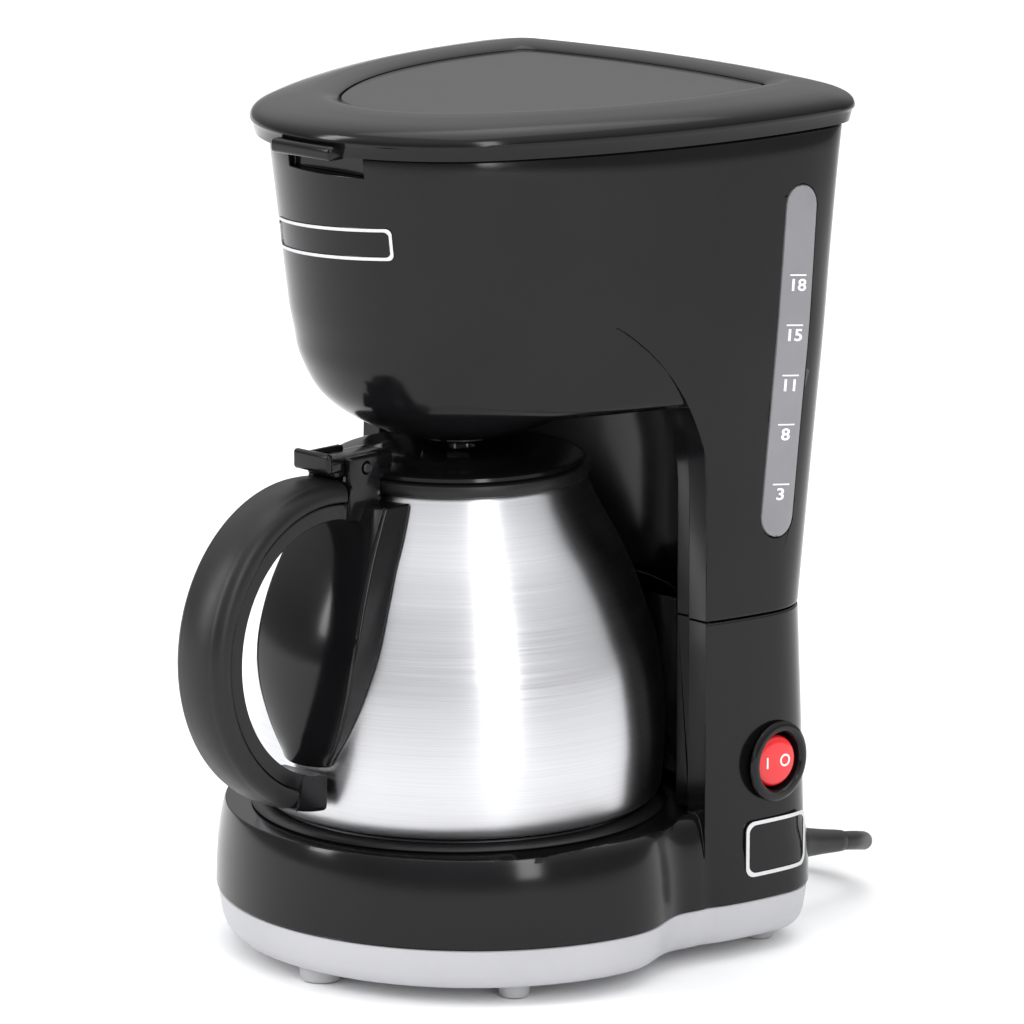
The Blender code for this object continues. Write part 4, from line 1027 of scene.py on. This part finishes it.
def lid():
    mat = FINISH["gloss_black"]
    under = [(24, 255.3), (6.5, 255.2), (3.2, 253.6), (3.2, LID_BOTTOM), (1.5, LID_BOTTOM)]
    over = smooth_profile(((0.8, LID_EDGE), (0.0, 253.9), (0.5, 255.8), (2.2, 257.4), (6, 258.9),
                           (12, 260.2), (15.5, 260.7), (CREST_INSET, LID_CREST), (19, 260.6), (21, 259.8),
                           (22.2, 259.0)), 0.6)
    levels = under + over + [(22.4, 258.7), (22.4, 257.3)]
    shell = loft("lid_shell", [lid_ring(d, z) for d, z in levels], mat)
    for sign in (-1, 1):
        x0, x1 = sorted((sign * (EAR_X - 7.4), sign * (EAR_X - 0.7)))
        combine(shell, box("add_knuckle", (x0, 98.8, 249.4), (x1, 103.8, 255.6), mat), "UNION")
        x0, x1 = sorted((sign * (EAR_X - 0.6), sign * (EAR_X + EAR_WIDTH + 0.6)))
        combine(shell, box("cut_notch", (x0, 94, 245), (x1, 112, 253.7), mat))
    combine(shell, box("add_tab", (-12.6, -64.6, 248.6), (12.6, -58.0, 252.8), mat, bevel=1.3), "UNION")
    combine(shell, lid_bore("cut_lid_bore", mat))
    place(settle(shell, 0.0, 2, 30), "lid", "gloss_black", "lid")
    levels = ((23.0, 257.6), (22.9, 258.3), (23.1, 258.65), (23.5, 258.8), (27, 258.75), (31, 258.7),
              (36, 258.65), (42, 258.6), (50, 258.6), (58, 258.6), (62, 258.6))
    panel = loft("lid_face", [lid_ring(d, z) for d, z in levels], FINISH["panel"])
    place(settle(panel), "lid", "matte_black", "lid_panel")


# ---- plate and switch ----
def hot_plate():
    profile = ((55.4, 45.2), (56.6, 45.5), (57.0, 46.1), (56.9, 46.5), (56.6, 46.8), (56.0, PLATE_TOP),
               (50.0, PLATE_TOP), (49.4, PLATE_TOP - 0.3), (48.0, PLATE_TOP - 0.3), (47.4, PLATE_TOP),
               (8.0, PLATE_TOP))
    disc = turned("hot_plate_disc", profile, FINISH["dark_steel"])
    place(settle(disc), "body", "dark_steel", "warming_plate")
    seal = ((57.4, 42.0), (60.6, 42.0), (60.6, 44.8), (62.6, 44.8), (62.7, 45.1), (62.4, 45.5), (61.0, 46.1),
            (59.4, 46.5), (58.0, 46.5), (57.4, 46.2))
    seal_ring = turned_ring("hot_plate_seal", seal, FINISH["matte_black"])
    place(settle(seal_ring), "body", "matte_black", "plate_seal")


def switch():
    face = half_width(housing_outline(SWITCH_Z), SWITCH_Y)
    start = (face - 9.0, SWITCH_Y, SWITCH_Z)
    profile = ((8.8, 0.0), (9.6, 0.0), (9.6, 9.5), (12.2, 9.5), (12.3, 9.8), (12.1, 10.3), (11.4, 10.8),
               (10.4, 11.0), (9.5, 10.8), (9.0, 10.3), (8.8, 9.6))
    bezel = spindle_ring("switch_ring", profile, FINISH["gloss_black"], start, (1, 0, 0))
    place(settle(bezel), "body", "gloss_black", "switch_bezel")
    axis = Vector((face - 4.6, SWITCH_Y, SWITCH_Z))
    lean = Vector((math.cos(ROCKER_LEAN), math.sin(ROCKER_LEAN), 0))
    profile = ((6.6, -1.5), (7.7, -0.6), (7.8, 3.6), (7.7, 4.2), (7.4, 4.7), (6.9, 5.0), (5.6, 5.25),
               (3.5, 5.4), (1.0, 5.45))
    cap = spindle("rocker_cap", profile, FINISH["red_plastic"], axis, lean)
    place(settle(cap), "rocker", "red_plastic", "rocker")
    side = Vector((-lean.y, lean.x, 0))
    up = Vector((0, 0, 1))

    def on_rocker(across, rise, lift):
        return axis + side * across + up * rise + lean * (ROCKER_FACE + lift)

    bar = [[on_rocker(u, v, lift) for u, v in ((-3.9, -1.7), (-3.3, -1.7), (-3.3, 1.7), (-3.9, 1.7))]
           for lift in (0.0, ROCKER_MARK_HEIGHT)]
    place(settle(loft("rocker_mark_on", bar, PRINT["white"])), "rocker", "red_plastic")
    rings = []
    steps = 40
    for i in range(steps):
        a = 2 * math.pi * i / steps
        ring = []
        for radius, lift in ((1.9, 0.0), (1.9, ROCKER_MARK_HEIGHT), (1.35, ROCKER_MARK_HEIGHT), (1.35, 0.0)):
            ring.append(on_rocker(3.2 + radius * math.cos(a), radius * math.sin(a), lift))
        rings.append(ring)
    place(settle(closed_loft("rocker_mark_off", rings, PRINT["white"])), "rocker", "red_plastic")


# ---- carafe ----
def carafe_radius(z):
    for (r0, z0), (r1, z1) in zip(CARAFE, CARAFE[1:]):
        if z0 <= z <= z1:
            return r0 + (r1 - r0) * (z - z0) / (z1 - z0)
    return CARAFE[-1][0]


def carafe_body():
    outer = smooth_profile(CARAFE, 1.6)
    inner = [(radius - STEEL, z) for radius, z in reversed(CARAFE[3::2])]
    inner += [(60.0, 52.0), (58.6, 49.4), (56.6, CARAFE_BOTTOM + STEEL)]
    profile = (*outer, (38.0, CARAFE_TOP + 0.15), *smooth_profile(inner, 3.0))
    pot = turned("carafe_pot", profile, FINISH["steel"])
    place(settle(pot, 0.0, 2, 38), "carafe", "steel", "carafe_body")


def carafe_top():
    mat = FINISH["matte_black"]
    gloss = FINISH["gloss_black"]
    collar = ((36.7, 145.8), (38.9, 145.8), (39.4, 146.1), (39.6, 146.5), (39.7, 147.7), (39.6, 148.9),
              (39.4, 149.3), (38.9, 149.5), (36.7, 149.5))
    place(settle(turned_ring("carafe_neck", collar, mat)), "carafe", "matte_black", "carafe_collar")
    profile = [(4.6, 139.5), (35.8, 139.5), (36.2, 140.0), (36.2, 149.8), (37.4, 149.8)]
    profile += smooth_profile(((37.6, 150.3), (37.2, 151.2), (34.0, 151.7), (26.0, 152.1), (22.0, 153.2),
                               (14.0, 153.6), (5.4, 153.6)), 0.9)
    profile += [(4.8, 153.4), (4.6, 153.0)]
    cap = turned_ring("carafe_cap_shell", profile, gloss)
    combine(cap, box("add_root", (-5.7, -39.6, 150.0), (5.7, -33.4, 154.5), gloss, 0.5), "UNION")
    combine(cap, box("add_arm", (-6.1, -57, 152.9), (6.1, -33, 158.2), gloss, 1.1), "UNION")
    combine(cap, box("add_thumb", (-7.5, -60.0, 154.8), (7.5, -54.4, 159.0), gloss, 1.4), "UNION")
    combine(cap, box("add_lip", (-7.5, -61.2, 155.0), (7.5, -58.8, 161.0), gloss, 1.1), "UNION")
    combine(cap, pin_bore("cut_lid_pin", gloss, (-20, CARAFE_HINGE_Y, CARAFE_HINGE_Z)))
    place(settle(cap), "carafe_cap", "matte_black", "carafe_lid")
    pin = ((1.2, 0.0), (1.5, 0.3), (1.5, 19.3), (1.2, 19.6))
    start = (-9.8, CARAFE_HINGE_Y, CARAFE_HINGE_Z)
    rod = spindle("carafe_hinge_rod", pin, FINISH["dark_steel"], start, (1, 0, 0), 32)
    place(settle(rod), "carafe", "steel", "carafe_lid_pin")


def handle_ring(angle, inner, outer, half_width_x, edge, swell=0.0):
    """Section of the handle between two ellipses at an angle round its centre."""
    a = math.radians(angle)
    depth = outer[0] - inner[0]
    cut = edge / depth
    section = [(-1, 0, 0.0), (-0.5, 0, 0.0), (0.5, 0, 0.0), (1, 0, 0.0), (1, 0, 1 - cut)]
    steps = 8
    for i in range(1, steps + 1):
        b = math.pi / 2 * i / steps
        section.append((1, math.cos(b) - 1, 1 - cut + cut * math.sin(b)))
    section += [(0.5, 0, 1 + swell), (0.0, 0, 1 + 1.3 * swell), (-0.5, 0, 1 + swell)]
    for i in range(steps, 0, -1):
        b = math.pi / 2 * i / steps
        section.append((-1, 1 - math.cos(b), 1 - cut + cut * math.sin(b)))
    section.append((-1, 0, 1 - cut))
    ring = []
    for side, tuck, s in section:
        ry = inner[0] + depth * s
        rz = inner[1] + (outer[1] - inner[1]) * s
        x = side * half_width_x + tuck * edge
        ring.append((x, HANDLE_CENTRE_Y + ry * math.cos(a), HANDLE_CENTRE_Z + rz * math.sin(a)))
    return ring


def arm_rings(arm):
    """Rings of one of the handle's two arms."""
    start, span = arm
    angles = [start + span * i / ARM_STEPS for i in range(ARM_STEPS + 1)]
    return [handle_ring(a, HANDLE_INNER, HANDLE_OUTER, HANDLE_HALF_WIDTH, 1.6) for a in angles]


def loop_rings(limits, inner, outer, *section):
    """Rings of the handle's loop between two angles."""
    start, end = limits
    angles = [start + (end - start) * i / LOOP_STEPS for i in range(LOOP_STEPS + 1)]
    return [handle_ring(a, inner, outer, *section) for a in angles]


def handle():
    """Gloss inner loop with its hinge ears, and the matte grip round it."""
    mat = FINISH["gloss_black"]
    rings = arm_rings(HANDLE_TOP_ARM)
    rings += loop_rings(HANDLE_LOOP, HANDLE_INNER, HANDLE_MIDDLE, HANDLE_HALF_WIDTH, 0.6)
    rings += arm_rings(HANDLE_LOW_ARM)
    inner_loop = loft("handle_inner", rings, mat)
    for x in (-HANDLE_HALF_WIDTH, HINGE_EAR_X):
        ear = box("add_hinge", (x, -53.5, 146.0), (x + HANDLE_HALF_WIDTH - HINGE_EAR_X, -41.0, 159.0),
                  mat, 0.8)
        combine(inner_loop, ear, "UNION")
    combine(inner_loop, pin_bore("cut_hinge_pin", mat, (-20, CARAFE_HINGE_Y, CARAFE_HINGE_Z)))
    hole = ((3.1, 50), (3.1, 57.9), (1.8, 57.9), (1.8, 64.2))
    combine(inner_loop, turned("cut_handle_screw", hole, mat, (0, -70), 32))
    place(settle(inner_loop, 0.4), "carafe", "gloss_black", "handle_frame")
    middle = (HANDLE_MIDDLE[0] + GAP, HANDLE_MIDDLE[1] + GAP)
    rings = loop_rings(HANDLE_GRIP, middle, HANDLE_OUTER, HANDLE_HALF_WIDTH + 0.6, 4.2, 0.06)
    outer_loop = loft("handle_outer", rings, FINISH["matte_black"])
    place(settle(outer_loop, 0.5), "carafe", "matte_black", "handle_grip")


def strap():
    """Bowed shield between the handle's two arms, standing on the carafe."""
    rings = []
    for station in smooth_route(SHIELD, 2.0):
        z, half, edge = station
        rim = carafe_radius(z) + 0.4
        count = 16
        sides = [half * math.sin(math.pi / 2 * (k / (count / 2) - 1)) for k in range(count + 1)]
        ring = [(x, min(edge, -math.sqrt(rim * rim - x * x) - 1.6) - 3.0 * (1 - (x / half) ** 2), z)
                for x in sides]
        ring += [(x, -math.sqrt(rim * rim - x * x), z) for x in reversed(sides)]
        rings.append(ring)
    shield = loft("handle_shield", rings, FINISH["gloss_black"])
    place(settle(shield, 0.7, 4), "carafe", "gloss_black", "handle_strap")


# ---- carried-over CAD nodes ----
def dress_cad_nodes():
    """Give every CAD node that still shows its finish by its own material's name."""
    for obj in frame["nodes"].values():
        for i, mat in enumerate(obj.data.materials):
            name = mat.name.split(".")[0] if mat else ""
            if name in FINISH:
                obj.data.materials[i] = FINISH[name]


# ---- studio ----
def area_light(name, location, target, size, power, size_y):
    data = bpy.data.lights.new(name, "AREA")
    data.energy = power
    data.size = size
    if size_y:
        data.shape = "RECTANGLE"
        data.size_y = size_y
    lamp = bpy.data.objects.new(name, data)
    lamp.location = location
    lamp.rotation_mode = "QUATERNION"
    lamp.rotation_quaternion = (Vector(target) - Vector(location)).to_track_quat("-Z", "Y")
    bpy.context.collection.objects.link(lamp)


def studio():
    mesh = bpy.data.meshes.new("floor")
    corners = ((-1, -1), (1, -1), (1, 1), (-1, 1))
    mesh.from_pydata([(FLOOR_REACH * x, FLOOR_REACH * y, 0) for x, y in corners], [], [(0, 1, 2, 3)])
    floor = bpy.data.objects.new("floor", mesh)
    bpy.context.collection.objects.link(floor)
    mat, nodes, links, shader = new_material("floor_paint", FLOOR_COLOUR, 0.9)
    shader.inputs["Specular IOR Level"].default_value = 0.1
    vary_colour(nodes, links, shader, noise(nodes, links, 3.0), FLOOR_COLOUR, 0.01)
    mesh.materials.append(mat)
    floor.location.z = FLOOR_Z
    world = bpy.data.worlds.new("studio")
    world.use_nodes = True
    nodes, links = world.node_tree.nodes, world.node_tree.links
    coords = nodes.new("ShaderNodeTexCoord")
    axes = nodes.new("ShaderNodeSeparateXYZ")
    rise = nodes.new("ShaderNodeMapRange")
    for socket, value in SKY_RISE:
        rise.inputs[socket].default_value = value
    links.new(coords.outputs["Generated"], axes.inputs["Vector"])
    links.new(axes.outputs["Z"], rise.inputs["Value"])
    nodes["Background"].inputs["Color"].default_value = (*SKY, 1)
    links.new(rise.outputs["Result"], nodes["Background"].inputs["Strength"])
    bpy.context.scene.world = world
    for light in LIGHTS:
        area_light(*light)
    bpy.context.scene.view_settings.view_transform = "Standard"


def build():
    make_camera()
    FINISH.update(make_finishes())
    FINISH["panel"] = moulded("panel_black", GLOSS_COLOUR, 0.14, FINE_GRAIN, 0.002, 0.12, 0.25)
    PRINT["white"] = moulded("print_white", (0.85, 0.85, 0.85), 0.5, FINE_GRAIN, 0.003, 0.04)
    cord_and_plug()
    base_pan()
    lower_housing()
    upper_housing()
    gauge()
    badges()
    lid()
    hot_plate()
    switch()
    carafe_body()
    carafe_top()
    handle()
    strap()
    dress_cad_nodes()
    studio()


build()
